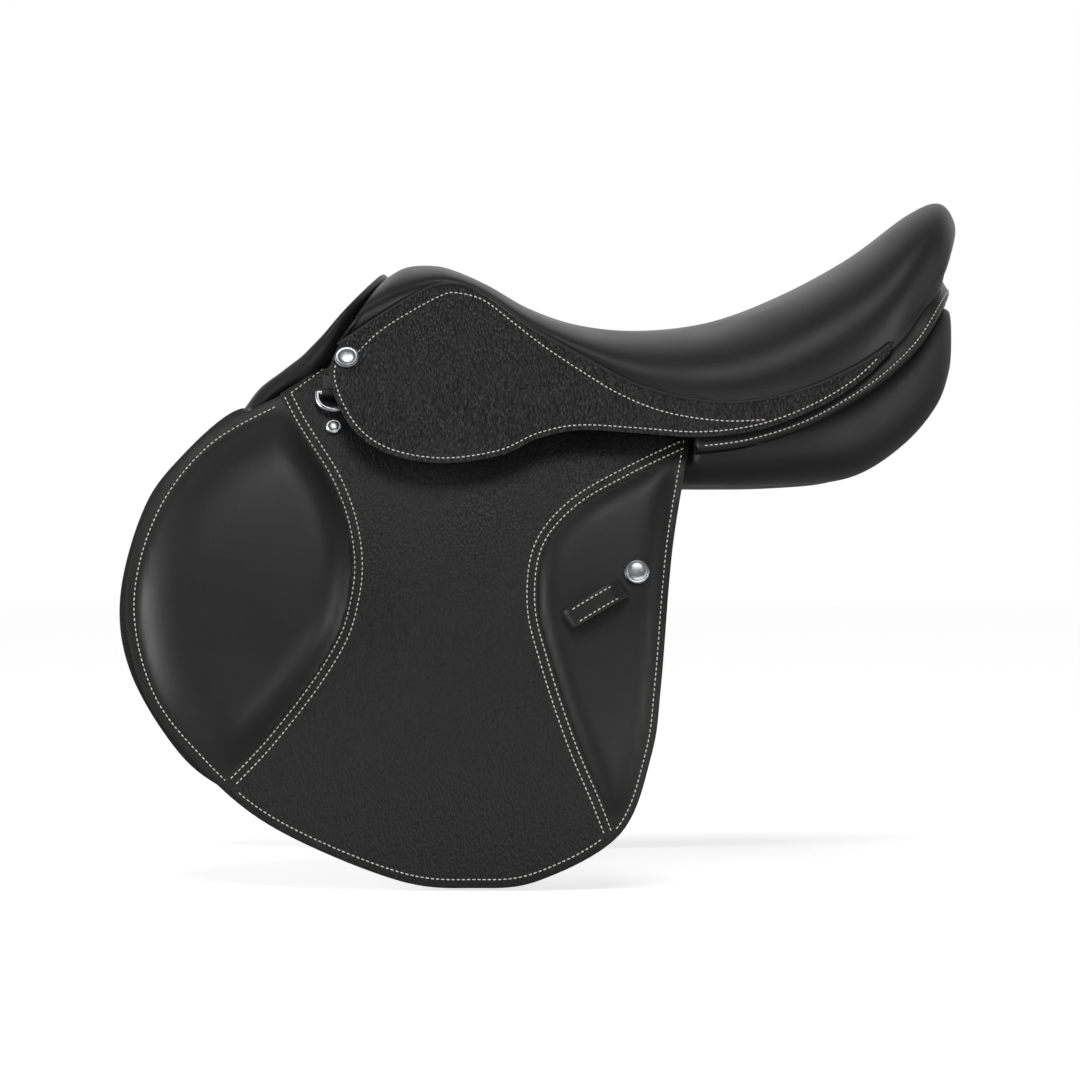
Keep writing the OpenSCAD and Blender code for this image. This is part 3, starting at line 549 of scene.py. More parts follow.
def wrapped(rows, sides, ring):
    bm = gridded(rows, sides, lambda u, v: ring(u, 2 * math.pi * v))
    bmesh.ops.remove_doubles(bm, verts=bm.verts, dist=SEAM_WELD)
    return bm


def end_round(t, share):
    near = min(t, 1 - t) / share
    return 1.0 if near >= 1 else math.sqrt(max(0.0, 1 - (1 - near) ** 2))


# %% Welt between seat and skirt, on both sides
TAIL_T = 21.7 / SEAT_STATIONS
WELT_R, WELT_SINK = 1.5, 0.8


def seam_point(t, off=SEAM_OFF):
    p = spline_at(seam_line, t)
    return on_side(p.x, p.y, off)


def build_welt():
    def ring(t, angle):
        s = t * TAIL_T
        along = heading(seam_point, s, 0.01)
        normal = side_normal(spline_at(seam_line, s).y, SEAM_OFF)
        up = normal.cross(along).normalized()
        out = normal * math.cos(angle) + up * math.sin(angle)
        return seam_point(s, SKIRT_OFF + SKIRT_T - WELT_SINK) + out * WELT_R * end_round(t, 0.01)
    return wrapped(140, 10, ring)


for welt in pair("seat_welt", build_welt, smooth_leather, 0):
    fit(welt)

# %% [markdown]
# ## Flap
# A flap is built up as the maker does it: a firm backing, a middle of grip leather, and two padded panels
# under the middle's edges, the knee pad in front and the thigh pad behind. Each is a flat pattern. The
# pads get their crown from how far a point lies from the pad's own edge, so they swell like stuffing.

# %% Flap lines
FLAP_EDGE = [(-0.649, 0.195), (-0.786, 0.103), (-0.879, -0.041), (-0.918, -0.227), (-0.884, -0.410),
             (-0.799, -0.543), (-0.662, -0.678), (-0.441, -0.788), (-0.299, -0.805), (-0.186, -0.789),
             (-0.046, -0.696), (0.009, -0.537), (0.026, -0.398), (0.041, -0.198), (0.054, -0.077),
             (0.082, 0.097)]
FLAP_CREST = [(0.075, 0.130), (0, 0.150), (-0.113, 0.185), (-0.258, 0.235), (-0.387, 0.262), (-0.515, 0.274),
              (-0.572, 0.266)]
KNEE_SEAM = [(-250, 68), (-239.6, 48.5), (-228.7, 31.5), (-214, 8.5), (-203.5, -16), (-198, -40),
             (-197, -60.5), (-200, -81), (-205.7, -101), (-219, -125), (-236, -149), (-259.5, -178),
             (-284.5, -204)]
THIGH_SEAM = [(30, 31.5), (7, 21), (-17, 9), (-41.6, -4.7), (-58.8, -19), (-70.6, -34), (-76.7, -50),
              (-78.8, -70.7), (-77.4, -91), (-71, -115), (-61.7, -145), (-49, -180.5), (-35, -213),
              (-25, -239)]
KNEE_TOP = Vector((-252, 66))
BACKING_T, COVER_STEP, PAD_EDGE_T, LAY_GAP = 3.4, 1.6, 0.8, 0.02
PAD_OFF = BACKING_T + LAY_GAP
KNEE_CROWN, THIGH_CROWN = 11.6, 5.2
flap_edge = spline(scaled(FLAP_EDGE, FLAP_W, FLAP_H), 150)
flap_crest = scaled(FLAP_CREST, FLAP_W, FLAP_H)
knee_seam = spline(KNEE_SEAM, 60)
thigh_seam = spline(THIGH_SEAM, 60)


def closest_index(line, p):
    return min(range(len(line)), key=lambda i: (line[i] - p).length_squared)


knee_low = closest_index(flap_edge, knee_seam[-1])
thigh_low = closest_index(flap_edge, thigh_seam[-1])
knee_top = closest_index(flap_edge, KNEE_TOP)
print("flap edge", len(flap_edge), "knee", knee_top, knee_low, "thigh", thigh_low)

# %% Flap backing, on both sides
FLAP_FOLD = scaled([(-0.950, -0.065), (0.100, 0.095)], FLAP_W, FLAP_H)
FLAP_ABOVE, FLAP_BELOW = 14, 34


def bend(pieces, fold, off, above, below, nodes):
    way = (fold[1] - fold[0]).normalized()
    down = Vector((way.y, -way.x))
    middle = (fold[0] + fold[1]) / 2
    for piece, side, sign in zip(pieces, SIDES, (1, -1)):
        for p in (middle - down * above, middle + down * below):
            spot = on_side(p.x, p.y, off) * MM
        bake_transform(piece)
        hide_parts(*[n + "_" + side for n in nodes])


def on_flap(pieces, slot, *nodes):
    bend(pieces, FLAP_FOLD, FLAP_T, FLAP_ABOVE, FLAP_BELOW, nodes)


backings = sheets("flap_backing", smooth_leather, flap_edge + flap_crest, BACKING_T, layer(0))
on_flap(backings, "smooth_leather", "flap", "flap_top")

# %% Grip leather in the middle of the flap
LAP, EDGE_IN, OUTLINE_PITCH = 4.8, 1.2, 4.0
knee_lap = shifted(knee_seam, -LAP)
thigh_lap = shifted(thigh_seam, LAP)
low_edge = shifted(flap_edge, EDGE_IN)
middle_outline = knee_lap + low_edge[knee_low + 2:thigh_low - 1] + thigh_lap[::-1] + flap_crest[1:]
middle_pattern = evenly(middle_outline, OUTLINE_PITCH)[:-1]
on_flap(sheets("flap_middle", grip_leather, middle_pattern, COVER_STEP, layer(PAD_OFF)), "grip_leather")

# %% Knee and thigh pads
PUFF, PAD_RIM, PAD_CELL, PAD_UNDER = 2.8, 0.3, 4.0, 1.0
SEAM_CLEAR = LAP + 0.4


def puffed(distance, reach):
    share = max(0.0, min(1.0, distance / reach))
    return 1 - (1 - share) ** PUFF


def swelling(edge, margin, edge_reach, seam, seam_reach, crown, off):
    def lay(x, z, rise):
        p = Vector((x, z))
        puff = crown * puffed(nearest(edge, p) - margin, edge_reach)
        if seam:
            puff *= puffed(nearest(seam, p) - SEAM_CLEAR, seam_reach)
        return on_side(x, z, off + rise + puff * min(1.0, rise / PAD_EDGE_T))
    return lay


def build_pad(outline, lay):
    return leather_sheet(evenly(outline, OUTLINE_PITCH)[:-1], PAD_EDGE_T, lay, PAD_RIM, PAD_CELL)


edge_line = flap_edge[::2]
knee_outline = low_edge[knee_top:knee_low + 2] + shifted(knee_seam, -PAD_UNDER)[::-1]
knee_lay = swelling(edge_line, margin=9.0, edge_reach=50.0, seam=knee_seam[::2], seam_reach=28.0,
                    crown=KNEE_CROWN, off=PAD_OFF)
knee_pads = pair("knee_pad_cover", lambda: build_pad(knee_outline, knee_lay), smooth_leather, 60)
on_flap(knee_pads, "smooth_leather", "knee_pad", "knee_pad_top")
thigh_outline = low_edge[thigh_low:] + shifted(thigh_seam, PAD_UNDER)
thigh_lay = swelling(edge_line, margin=7.0, edge_reach=24.0, seam=thigh_seam[::2], seam_reach=18.0,
                     crown=THIGH_CROWN, off=PAD_OFF)
thigh_pads = pair("thigh_pad_cover", lambda: build_pad(thigh_outline, thigh_lay), smooth_leather, 60)
on_flap(thigh_pads, "smooth_leather", "thigh_pad")

# %% Stitches on the flap
EDGE_ROW, THIGH_ROW, SEAM_ROWS = 6.0, 4.4, (-2.6, 2.6)
CREST_ROW = [Vector((-247, 66)), Vector((-234, 76)), Vector((-221, 86.5))]
ON_MIDDLE, ON_PAD = BACKING_T + COVER_STEP, BACKING_T + PAD_EDGE_T
edge_row = shifted(flap_edge, EDGE_ROW)
flap_rows = [(edge_row[knee_top + 2:knee_low + 1], ON_PAD), (edge_row[knee_low + 1:thigh_low], ON_MIDDLE),
             (shifted(flap_edge, THIGH_ROW)[thigh_low + 1:], ON_PAD)]
flap_rows += [(shifted(seam, gap)[1:-1], ON_MIDDLE) for gap in SEAM_ROWS for seam in (knee_seam, thigh_seam)]
on_flap(sewn("flap_stitches", flap_rows + [(CREST_ROW, ON_MIDDLE)]), "smooth_leather")

# %% [markdown]
# ## Skirt
# The skirt is one piece of grip leather. Its front is a lobe that lifts to show the stirrup bar. Here its
# mesh and its stitches are laid at rest, and the CAD skirt parts they replace are hidden.

# %% Skirt sheet and its stitches
SKIRT_LOW = [(-0.527, 0.476), (-0.539, 0.367), (-0.502, 0.208), (-0.441, 0.116), (-0.347, 0.080),
             (-0.246, 0.106), (-0.180, 0.164), (-0.111, 0.191), (-0.012, 0.181), (0.094, 0.168),
             (0.197, 0.194), (0.293, 0.265), (0.369, 0.356), (0.432, 0.474)]
SKIRT_ROW = [(-0.492, 0.456), (-0.453, 0.533), (-0.394, 0.609), (-0.346, 0.660), (-0.323, 0.666),
             (-0.277, 0.641), (-0.224, 0.560), (-0.171, 0.477), (-0.089, 0.368), (-0.040, 0.311),
             (0.017, 0.263), (0.077, 0.235), (0.142, 0.222), (0.205, 0.226)]
SKIRT_FOLD = scaled([(-0.555, 0.389), (-0.105, 0.192)], SEAT_LEN, SEAT_H)
SKIRT_ABOVE, SKIRT_BELOW = 4, 14
SKIRT_TUCK, SKIRT_EDGE_ROW, SKIRT_RIM, SKIRT_STEPS = 0.6, 3.6, 1.5, 80
skirt_low = spline(scaled(SKIRT_LOW, SEAT_LEN, SEAT_H), 110)
skirt_top = [spline_at(seam_line, TAIL_T * (1 - i / SKIRT_STEPS)) - Vector((0, SKIRT_TUCK))
             for i in range(SKIRT_STEPS + 1)]


def on_skirt(pieces, slot, *nodes):
    bend(pieces, SKIRT_FOLD, SEAM_OFF, SKIRT_ABOVE, SKIRT_BELOW, nodes)


skirt_pattern = evenly(skirt_top[:-1] + skirt_low, OUTLINE_PITCH)[:-1]
skirts = sheets("skirt_leather", skirt_leather, skirt_pattern, SKIRT_T, layer(SKIRT_OFF), SKIRT_RIM)
on_skirt(skirts, "grip_leather", "skirt", "skirt_band")
skirt_rows = [(shifted(skirt_low, SKIRT_EDGE_ROW)[5:-4], SKIRT_OFF + SKIRT_T),
              (spline(scaled(SKIRT_ROW, SEAT_LEN, SEAT_H), 90), SKIRT_OFF + SKIRT_T)]
on_skirt(sewn("skirt_stitches", skirt_rows), "grip_leather")

# %% [markdown]
# ## Sweat flaps, blocks and straps
# Under each flap lies the sweat flap, with a firm block for the knee and one for the thigh, and the three
# girth straps. They show along the flap's front edge, from below, and when a flap is lifted.

# %% Sweat flaps and blocks
SWEAT_OFF, SWEAT_T, SWEAT_RIM, BLOCK_GAP = -17.75, 3.5, 1.2, 0.4
SWEAT_EDGE = [(0.020, 0.150), (0.010, -0.060), (-0.010, -0.300), (-0.060, -0.520), (-0.200, -0.680),
              (-0.420, -0.720), (-0.640, -0.655), (-0.757, -0.600), (-0.834, -0.522), (-0.911, -0.375),
              (-0.933, -0.230), (-0.902, -0.062), (-0.848, 0.045), (-0.731, 0.165), (-0.640, 0.122),
              (-0.500, 0.110), (-0.280, 0.150)]
KNEE_BLOCK = [(-0.760, 0.020), (-0.745, -0.110), (-0.745, -0.230), (-0.745, -0.350), (-0.755, -0.440),
              (-0.790, -0.440), (-0.845, -0.350), (-0.872, -0.230), (-0.865, -0.110), (-0.800, 0.020)]
THIGH_BLOCK = [(-0.012, 0.010), (0.002, -0.060), (0, -0.120), (-0.006, -0.180), (-0.018, -0.230),
               (-0.036, -0.230), (-0.048, -0.180), (-0.052, -0.120), (-0.048, -0.060), (-0.030, 0.010)]
BLOCK_CROWN = 12.2
sweat_edge = spline(scaled(SWEAT_EDGE, FLAP_W, FLAP_H), 150)
sweat_flaps = sheets("sweat_flap_leather", panel_leather, sweat_edge, SWEAT_T, layer(SWEAT_OFF), SWEAT_RIM)
fit_both(sweat_flaps, "sweat_flap")


def block(shares, reach):
    outline = spline(scaled(shares + shares[:1], FLAP_W, FLAP_H), 90)
    lay = swelling(outline, margin=0.0, edge_reach=reach, seam=None, seam_reach=0.0,
                   crown=BLOCK_CROWN - PAD_EDGE_T, off=SWEAT_OFF + SWEAT_T + BLOCK_GAP)
    return leather_sheet(outline[::-1][:-1], PAD_EDGE_T, lay, PAD_RIM, PAD_CELL)


for name, shares, reach in (("knee_block", KNEE_BLOCK, 18.0), ("thigh_block", THIGH_BLOCK, 9.0)):
    covers = pair(name + "_cover", lambda: block(shares, reach), panel_leather, 60)
    fit_both(covers, name)

# %% Girth straps, with their holes
STRAP_W, STRAP_T, STRAP_LEN, STRAP_TOP, STRAP_PITCH = 28, 4, 256, 42, 45
STRAP_OFFS = (-11.75, -6.5, -11.75)
STRAP_MIDDLE = -0.245 * FLAP_W
TIP_STEPS = 18
STRAP_RIM, STRAP_CELL, STRAP_ROW_IN, STRAP_ROW_END, STRAP_ROW_LIFT = 0.6, 12, 3.5, 4, -0.15
HOLE_R, FIRST_HOLE, HOLE_PITCH, HOLES, HOLE_SIDES = 2.75, 22, 25, 6, 24


def build_strap(index):
    x0, z0 = STRAP_MIDDLE + (index - 1) * STRAP_PITCH, STRAP_TOP - STRAP_LEN
    half = STRAP_W / 2
    turns = [math.pi * (k / TIP_STEPS - 0.5) for k in range(TIP_STEPS + 1)]
    tip = [(x0 + half * math.sin(a), z0 + half * (1 - math.cos(a))) for a in turns]
    loops = [tip + [(x0 + half, STRAP_TOP), (x0 - half, STRAP_TOP)]]
    turns = [2 * math.pi * n / HOLE_SIDES for n in range(HOLE_SIDES)]
    for k in range(HOLES):
        middle = z0 + FIRST_HOLE + k * HOLE_PITCH
        loops.append([(x0 + HOLE_R * math.cos(a), middle + HOLE_R * math.sin(a)) for a in turns])
    bm = bmesh.new()
    for spots in loops:
        ring = bmesh.ops.create_circle(bm, cap_ends=False, segments=len(spots), radius=1.0)["verts"]
        for vert, spot in zip(ring, spots):
            vert.co = (spot[0], 0, spot[1])
    bmesh.ops.triangle_fill(bm, edges=bm.edges[:], use_beauty=True, use_dissolve=False)
    for k in range(1, int(STRAP_LEN / STRAP_CELL)):
        whole = bm.verts[:] + bm.edges[:] + bm.faces[:]
        spot = (0, 0, z0 + STRAP_CELL * k)
        bmesh.ops.bisect_plane(bm, geom=whole, plane_co=spot, plane_no=(0, 0, 1), dist=0.01)
    thicken(bm, STRAP_T, STRAP_RIM, 2)
    for vert in bm.verts:
        vert.co = on_side(vert.co.x, vert.co.z, STRAP_OFFS[index] + vert.co.y)
    return bm


def strap_row(index, across):
    x = STRAP_MIDDLE + (index - 1) * STRAP_PITCH + across
    line = [Vector((x, z)) for z in (STRAP_TOP - STRAP_LEN + STRAP_W / 2, STRAP_TOP - STRAP_ROW_END)]
    return line, STRAP_OFFS[index] + STRAP_T, STRAP_ROW_LIFT


for index, name in enumerate(("front", "middle", "rear")):
    straps = pair("girth_strap_leather_" + name, lambda: build_strap(index), smooth_leather)
    ways = (STRAP_ROW_IN - STRAP_W / 2, STRAP_W / 2 - STRAP_ROW_IN)
    rows = sewn("girth_strap_stitches_" + name, [strap_row(index, across) for across in ways])
    for piece, row, side in zip(straps, rows, SIDES):
        body = "girth_strap_" + name + "_" + side
        fit(piece, body, body)
        fit(row, body=body)

# %% [markdown]
# ## Panels, front roll and rear facing
# The panels are long cushions that bear on the horse. Their sections follow the CAD stations, and where the
# sweat flap lies on them they are pressed flat. The front roll and the rear facing finish their edges.

# %% Panels
PANEL_W, PANEL_T, PANEL_OFF = 104, 50, -18.15
STATIONS = [(-0.600, 0.497, 0.145, 0.66, 0.40, 58), (-0.530, 0.459, 0.184, 0.98, 0.56, 58),
            (-0.419, 0.411, 0.198, 1.18, 0.66, 58), (-0.246, 0.405, 0.190, 1.02, 0.74, 50),
            (-0.062, 0.405, 0.168, 0.98, 1.02, 24), (0.111, 0.457, 0.140, 0.94, 1.06, 6),
            (0.259, 0.435, 0.145, 0.92, 1.10, 0), (0.369, 0.397, 0.203, 0.77, 1.32, 0),
            (0.458, 0.346, 0.319, 0.60, 1.36, 0), (0.518, 0.297, 0.454, 0.46, 1.32, 0),
            (0.542, 0.270, 0.520, 0.30, 0.72, 0)]
PANEL_ROUND = 0.75
SWEAT_BACK, SWEAT_EASE, SWEAT_STEP = 8, 20, 16.5
FLAP_BACK, FLAP_EASE, FLAP_STEP = 34, 12, 60


def smooth_step(x, start, length):
    share = max(0.0, min(1.0, (x - start) / length))
    return share * share * (3 - 2 * share)


def section_point(station, angle, half_w, half_t):
    tilt = math.radians(station[5])
    a = half_w * rounder(math.cos(angle), PANEL_ROUND)
    b = half_t * rounder(math.sin(angle), PANEL_ROUND)
    return Vector((station[0] * SEAT_LEN,
                   -station[1] * HALF_SPAN - a * math.cos(tilt) - b * math.sin(tilt),
                   station[2] * SEAT_H - a * math.sin(tilt) + b * math.cos(tilt)))


def panel_ring(t, angle):
    s = spline_at(STATIONS, t)
    small = end_round(t, 0.03)
    p = section_point(s, angle, s[3] * PANEL_W / 2 * small, s[4] * PANEL_T / 2 * small)
    behind_sweat = SWEAT_STEP * smooth_step(p.x, SWEAT_BACK, SWEAT_EASE)
    behind_flap = FLAP_STEP * smooth_step(p.x, FLAP_BACK, FLAP_EASE)
    p.y = max(p.y, side_y(p.z, PANEL_OFF + behind_sweat + behind_flap))
    return p


cushions = pair("panel_cushion", lambda: wrapped(150, 48, panel_ring), panel_leather, 0)
fit_both(cushions, "panel")

# %% Front roll
ROLL_PATH = [(-0.457, 0, 0.702), (-0.462, 0.240, 0.678), (-0.500, 0.440, 0.588), (-0.541, 0.505, 0.490),
             (-0.576, 0.502, 0.424), (-0.616, 0.490, 0.372), (-0.656, 0.498, 0.318), (-0.686, 0.520, 0.240)]
ROLL_THICK, ROLL_DEEP, ROLL_WIDENS, ROLL_WIDE_FROM, ROLL_WIDE_OVER = 9.0, 22.0, 7.0, 0.3, 0.3
ROLL_LEAN = 1.3


def roll_middle(t):
    s = spline_at(ROLL_PATH, abs(t))
    return Vector((s[0] * SEAT_LEN, math.copysign(s[1], t) * HALF_SPAN, s[2] * SEAT_H))


def roll_ring(u, angle):
    t = 2 * u - 1
    along = heading(roll_middle, t, 0.04, -1)
    behind = along.cross(Vector((0, t, ROLL_LEAN - abs(t)))).normalized()
    inwards = behind.cross(along)
    small = end_round(u, 0.02)
    wider = ROLL_WIDENS * smooth_step(abs(t), ROLL_WIDE_FROM, ROLL_WIDE_OVER)
    a = math.cos(angle) * (ROLL_THICK + wider) / 2 + wider / 2
    return roll_middle(t) + (behind * a + inwards * math.sin(angle) * ROLL_DEEP / 2) * small


front_roll = finish_piece("front_roll_cover", wrapped(90, 24, roll_ring), smooth_leather, 0)
fit(front_roll, "front_roll")

# %% Rear facing and its stitches
FACING_PATH = [(0.084, 0.146, 1), (0.170, 0.168, 1), (0.260, 0.222, 1), (0.339, 0.302, 1), (0.404, 0.388, 1),
               (0.463, 0.498, 1), (0.508, 0.628, 0.98), (0.527, 0.688, 0.60), (0.532, 0.702, 0)]
FACING_OFF, FACING_THICK, FACING_TALL, FACING_ROUND = 15.7, 8.0, 13.0, 0.7
FACING_SEWN, FACING_ROW_STEPS, FACING_ROW_OUT, FACING_ROW_UP = 0.97, 239, 0.47, 0.32


def facing_middle(t):
    s = spline_at(FACING_PATH, 1 - abs(t))
    z = s[1] * SEAT_H
    return Vector((s[0] * SEAT_LEN, -math.copysign(s[2], t) * side_y(z, FACING_OFF), z))


def facing_frame(t):
    along = heading(facing_middle, t, 0.03, -1)
    share = spline_at(FACING_PATH, 1 - abs(t))[2]
    outward = side_normal(facing_middle(t).z, FACING_OFF)
    face = Vector((1 - share, -math.copysign(share, t) * outward.y, share * outward.z))
    out = (face - along * face.dot(along)).normalized()
    return out, along.cross(out)


def facing_ring(u, angle):
    t = 2 * u - 1
    out, up = facing_frame(t)
    a = rounder(math.cos(angle), FACING_ROUND) * FACING_THICK / 2
    b = rounder(math.sin(angle), FACING_ROUND) * FACING_TALL / 2
    return facing_middle(t) + (out * a + up * b) * end_round(u, 0.012)


def build_facing_stitches():
    bm = bmesh.new()
    row = []
    for k in range(FACING_ROW_STEPS + 1):
        t = FACING_SEWN * (2 * k / FACING_ROW_STEPS - 1)
        out, up = facing_frame(t)
        sign = 1 if up.z < 0 else -1
        place = out * FACING_THICK * FACING_ROW_OUT + up * sign * FACING_TALL * FACING_ROW_UP
        row.append(facing_middle(t) + place)
    points = evenly(row, STITCH_PITCH)
    count = len(points)
    sew(bm, points, [facing_frame(FACING_SEWN * (2 * i / count - 1))[0] for i in range(count)])
    return bm


rear_facing = finish_piece("rear_facing_cover", wrapped(160, 20, facing_ring), smooth_leather, 0)
fit(rear_facing, "rear_facing")
facing_stitches = finish_piece("rear_facing_stitches", build_facing_stitches(), thread, 0)
fit(facing_stitches)

# %% [markdown]
# ## Linings
# Below the seat a saddle is closed with panel leather. One lining roofs the channel between the panels and
# hides tree, webs and plate from below. One runs round the cantle, from the seat's edge behind the rear
# facing and down to the panels, and one closes the head behind the front roll. Each is a grid laid through
# the lines that it is sewn to, and is then given the leather's thickness.

# %% Linings of the channel, the cantle and the head
LINING_T = 1.4
CHANNEL_ROOF = [(-188, 119), (-150, 118), (-100, 108), (-50, 95), (0, 93), (60, 92), (86, 95), (133, 120),
                (175, 138), (207, 151)]
CHANNEL_FRONT, CHANNEL_REAR, CHANNEL_HALF, CHANNEL_ROUND = -189, 206, 50, 0.8
CHANNEL_FOOT, HEAD_FOOT, CANTLE_FOOT, FOOT_SINK, INNER_SINK = 125, 122, 72, 0.8, 1.5
HEAD_REACH, HEAD_TUCK, HEAD_TURN = 0.66, 0.75, 0.12
CANTLE_REAR, CANTLE_FROM, CANTLE_OVER, EDGE_RISE, FACING_BACK = 212, 0.35, 0.5, 3, 3.2
SEAM_STEPS = 240


def roof_at(x):
    for a, b in zip(CHANNEL_ROOF, CHANNEL_ROOF[1:]):
        if x <= b[0]:
            return a[1] + (b[1] - a[1]) * (x - a[0]) / (b[0] - a[0])
    return CHANNEL_ROOF[-1][1]


def panel_point(x, degrees, sink):
    low, high = 0.0, 0.985
    while high - low > 0.001:
        middle = (low + high) / 2
        low, high = (middle, high) if spline_at(STATIONS, middle)[0] * SEAT_LEN < x else (low, middle)
    s = spline_at(STATIONS, low)
    p = section_point(s, math.radians(degrees + s[5]), s[3] * PANEL_W / 2 - sink, s[4] * PANEL_T / 2 - sink)
    p.x = x
    return p


def channel_point(x, turn):
    foot = panel_point(x, CHANNEL_FOOT, FOOT_SINK)
    rise = (roof_at(x) - foot.z) * math.sin(turn) ** CHANNEL_ROUND
    return Vector((x, foot.y * math.cos(turn), foot.z + rise))


def channel_end(x, y):
    return channel_point(x, math.acos(max(-1, min(1, -y / CHANNEL_HALF))))


def lined(rows, cols, place):
    bm = gridded(rows, cols, place)
    bmesh.ops.remove_doubles(bm, verts=bm.verts, dist=SEAM_WELD)
    bmesh.ops.recalc_face_normals(bm, faces=bm.faces)
    bm.normal_update()
    for vert in extruded(bm):
        vert.co += vert.normal * LINING_T
    return bm


def channel_place(u, v):
    return channel_point(CHANNEL_FRONT + (CHANNEL_REAR - CHANNEL_FRONT) * u, math.pi * v)


def head_place(u, v):
    t = HEAD_REACH * (2 * u - 1)
    roll = roll_middle(t)
    inner = roll_ring((t + 1) / 2, math.pi / 2)
    if (inner - roll).dot(Vector((0, -roll.y, -roll.z))) < 0:
        inner = roll_ring((t + 1) / 2, -math.pi / 2)
    arch = channel_end(CHANNEL_FRONT, roll.y)
    edge = panel_point(min(roll.x, CHANNEL_FRONT), HEAD_FOOT, FOOT_SINK)
    edge.y = math.copysign(edge.y, roll.y)
    foot = arch.lerp(edge, smooth_step(abs(t), HEAD_TURN, HEAD_TURN))
    return roll.lerp(inner, HEAD_TUCK).lerp(foot, v)


seam_places = spline(seam_line, SEAM_STEPS)


def seat_edge(p):
    row = min(range(SEAM_STEPS + 1), key=lambda k: abs(seam_places[k].x - p.x)) / SEAM_STEPS
    half = -side_y(spline_at(seam_line, row).y, SEAM_OFF)
    breadth = math.asin(min(1, abs(p.y) / half) ** (1 / SEAT_ROUND)) / (math.pi / 2)
    return seat_point(row, math.copysign(breadth, p.y), FOAM_DEPTH)


def cantle_place(u, v):
    t = 2 * u - 1
    middle, (out, up) = facing_middle(t), facing_frame(t)
    up = up if up.z > 0 else -up
    share = spline_at(FACING_PATH, 1 - abs(t))[2]
    edge = seat_edge(middle) + Vector((0, 0, EDGE_RISE))
    behind = middle - out * FACING_BACK
    lower = behind - up * (FACING_TALL / 2 - INNER_SINK)
    foot = panel_point(min(middle.x - 1, CANTLE_REAR), CANTLE_FOOT, FOOT_SINK)
    foot.y = math.copysign(foot.y, middle.y)
    crossing = channel_end(CHANNEL_REAR, middle.y)
    inner = panel_point(min(middle.x - 1, CHANNEL_REAR), CHANNEL_FOOT, INNER_SINK)
    inner.y = math.copysign(inner.y, middle.y)
    rest = 1 - smooth_step(share, CANTLE_FROM, CANTLE_OVER)
    return spline_at([edge, behind, lower, foot.lerp(crossing, rest), inner.lerp(crossing, rest)], v)


for name, rows, cols, place in (("channel_lining", 120, 28, channel_place),
                                ("cantle_lining", 140, 16, cantle_place), ("head_lining", 60, 8, head_place)):
    fit(finish_piece(name, lined(rows, cols, place), panel_leather, 60))

# %% [markdown]
# ## Nails, keeper and chapes
# The nails are turned heads of nickel plate. Half a profile, spun full circle, gives the head its rim and
# its shallow dome. The keeper is a short strap sewn down at both ends.

# %% Nails
NAIL_SIZE, POINT_NAIL_SIZE, NAIL_STEPS, NAIL_GAP, THIGH_RISE = 17, 11, 40, 0.3, 5


def at_side(x, z, off):
    normal = side_normal(z, off)
    up = Vector((0, normal.z, -normal.y))
    return axes_at(Vector((1, 0, 0)), up, normal, on_side(x, z, off))


def build_nail(x, z, off, size, shank):
    r = size / 2
    profile = [(0, 3.0), (0.45 * r, 2.85), (0.72 * r, 2.45), (0.76 * r, 2.25), (0.82 * r, 2.25),
               (0.88 * r, 2.35), (0.95 * r, 2.1), (r, 1.4), (r, 0.3), (0.96 * r, 0), (1.4, 0), (1.4, -shank),
               (0, -shank)]
    bm = bmesh.new()
    verts = [bm.verts.new((a, 0, b)) for a, b in profile]
    edges = [bm.edges.new(pair_of) for pair_of in zip(verts, verts[1:])]
    bmesh.ops.spin(bm, geom=verts + edges, cent=(0, 0, 0), axis=(0, 0, 1), angle=2 * math.pi,
                   steps=NAIL_STEPS, use_merge=True)
    bmesh.ops.remove_doubles(bm, verts=bm.verts, dist=0.005)
    bmesh.ops.transform(bm, matrix=at_side(x, z, off), verts=bm.verts)
    return bm


NAIL = (-0.510 * SEAT_LEN, 0.437 * SEAT_H)
POINT_NAIL = (-0.532 * SEAT_LEN, 0.203 * SEAT_H)
FLAP_NAIL = (-0.016 * FLAP_W, -0.172 * FLAP_H)
ON_SKIRT, ON_FLAP = SKIRT_OFF + SKIRT_T + NAIL_GAP, FLAP_T + NAIL_GAP
ON_THIGH = ON_FLAP + THIGH_RISE


def nail_heads(name, *form):
    return pair(name + "_nail_head", lambda: build_nail(*form), nickel, 30)


for nail in nail_heads("skirt", *NAIL, ON_SKIRT, NAIL_SIZE, 4.5):
    fit(nail, "skirt_nails")
for nail in nail_heads("point", *POINT_NAIL, ON_FLAP, POINT_NAIL_SIZE, 5):
    fit(nail, "point_nails")
for nail, side in zip(nail_heads("flap", *FLAP_NAIL, ON_THIGH, NAIL_SIZE, 10), SIDES):
    fit(nail, "flap_nail_" + side, "flap_" + side)

# %% Keeper
KEEPER = (-0.088 * FLAP_W, -0.240 * FLAP_H)
KEEPER_ANGLE, KEEPER_W, KEEPER_T, KEEPER_GAP, KEEPER_ROW_IN, KEEPER_RIM = 31.6, 14, 2.6, 0.4, 2.2, 0.7
KEEPER_LINE = [(-21, 0), (-20.7, 3.0), (-19.2, 5.4), (-15, 6.3), (-6, 6.9), (5, 6.9), (12, 6.1), (17, 4.0),
               (20, 1.4), (21, 0)]
keeper_line = spline(KEEPER_LINE, 60)


def keeper_place():
    turned = Matrix.Rotation(math.radians(KEEPER_ANGLE), 4, "Z")
    return at_side(*KEEPER, FLAP_T + THIGH_CROWN + KEEPER_GAP) @ turned


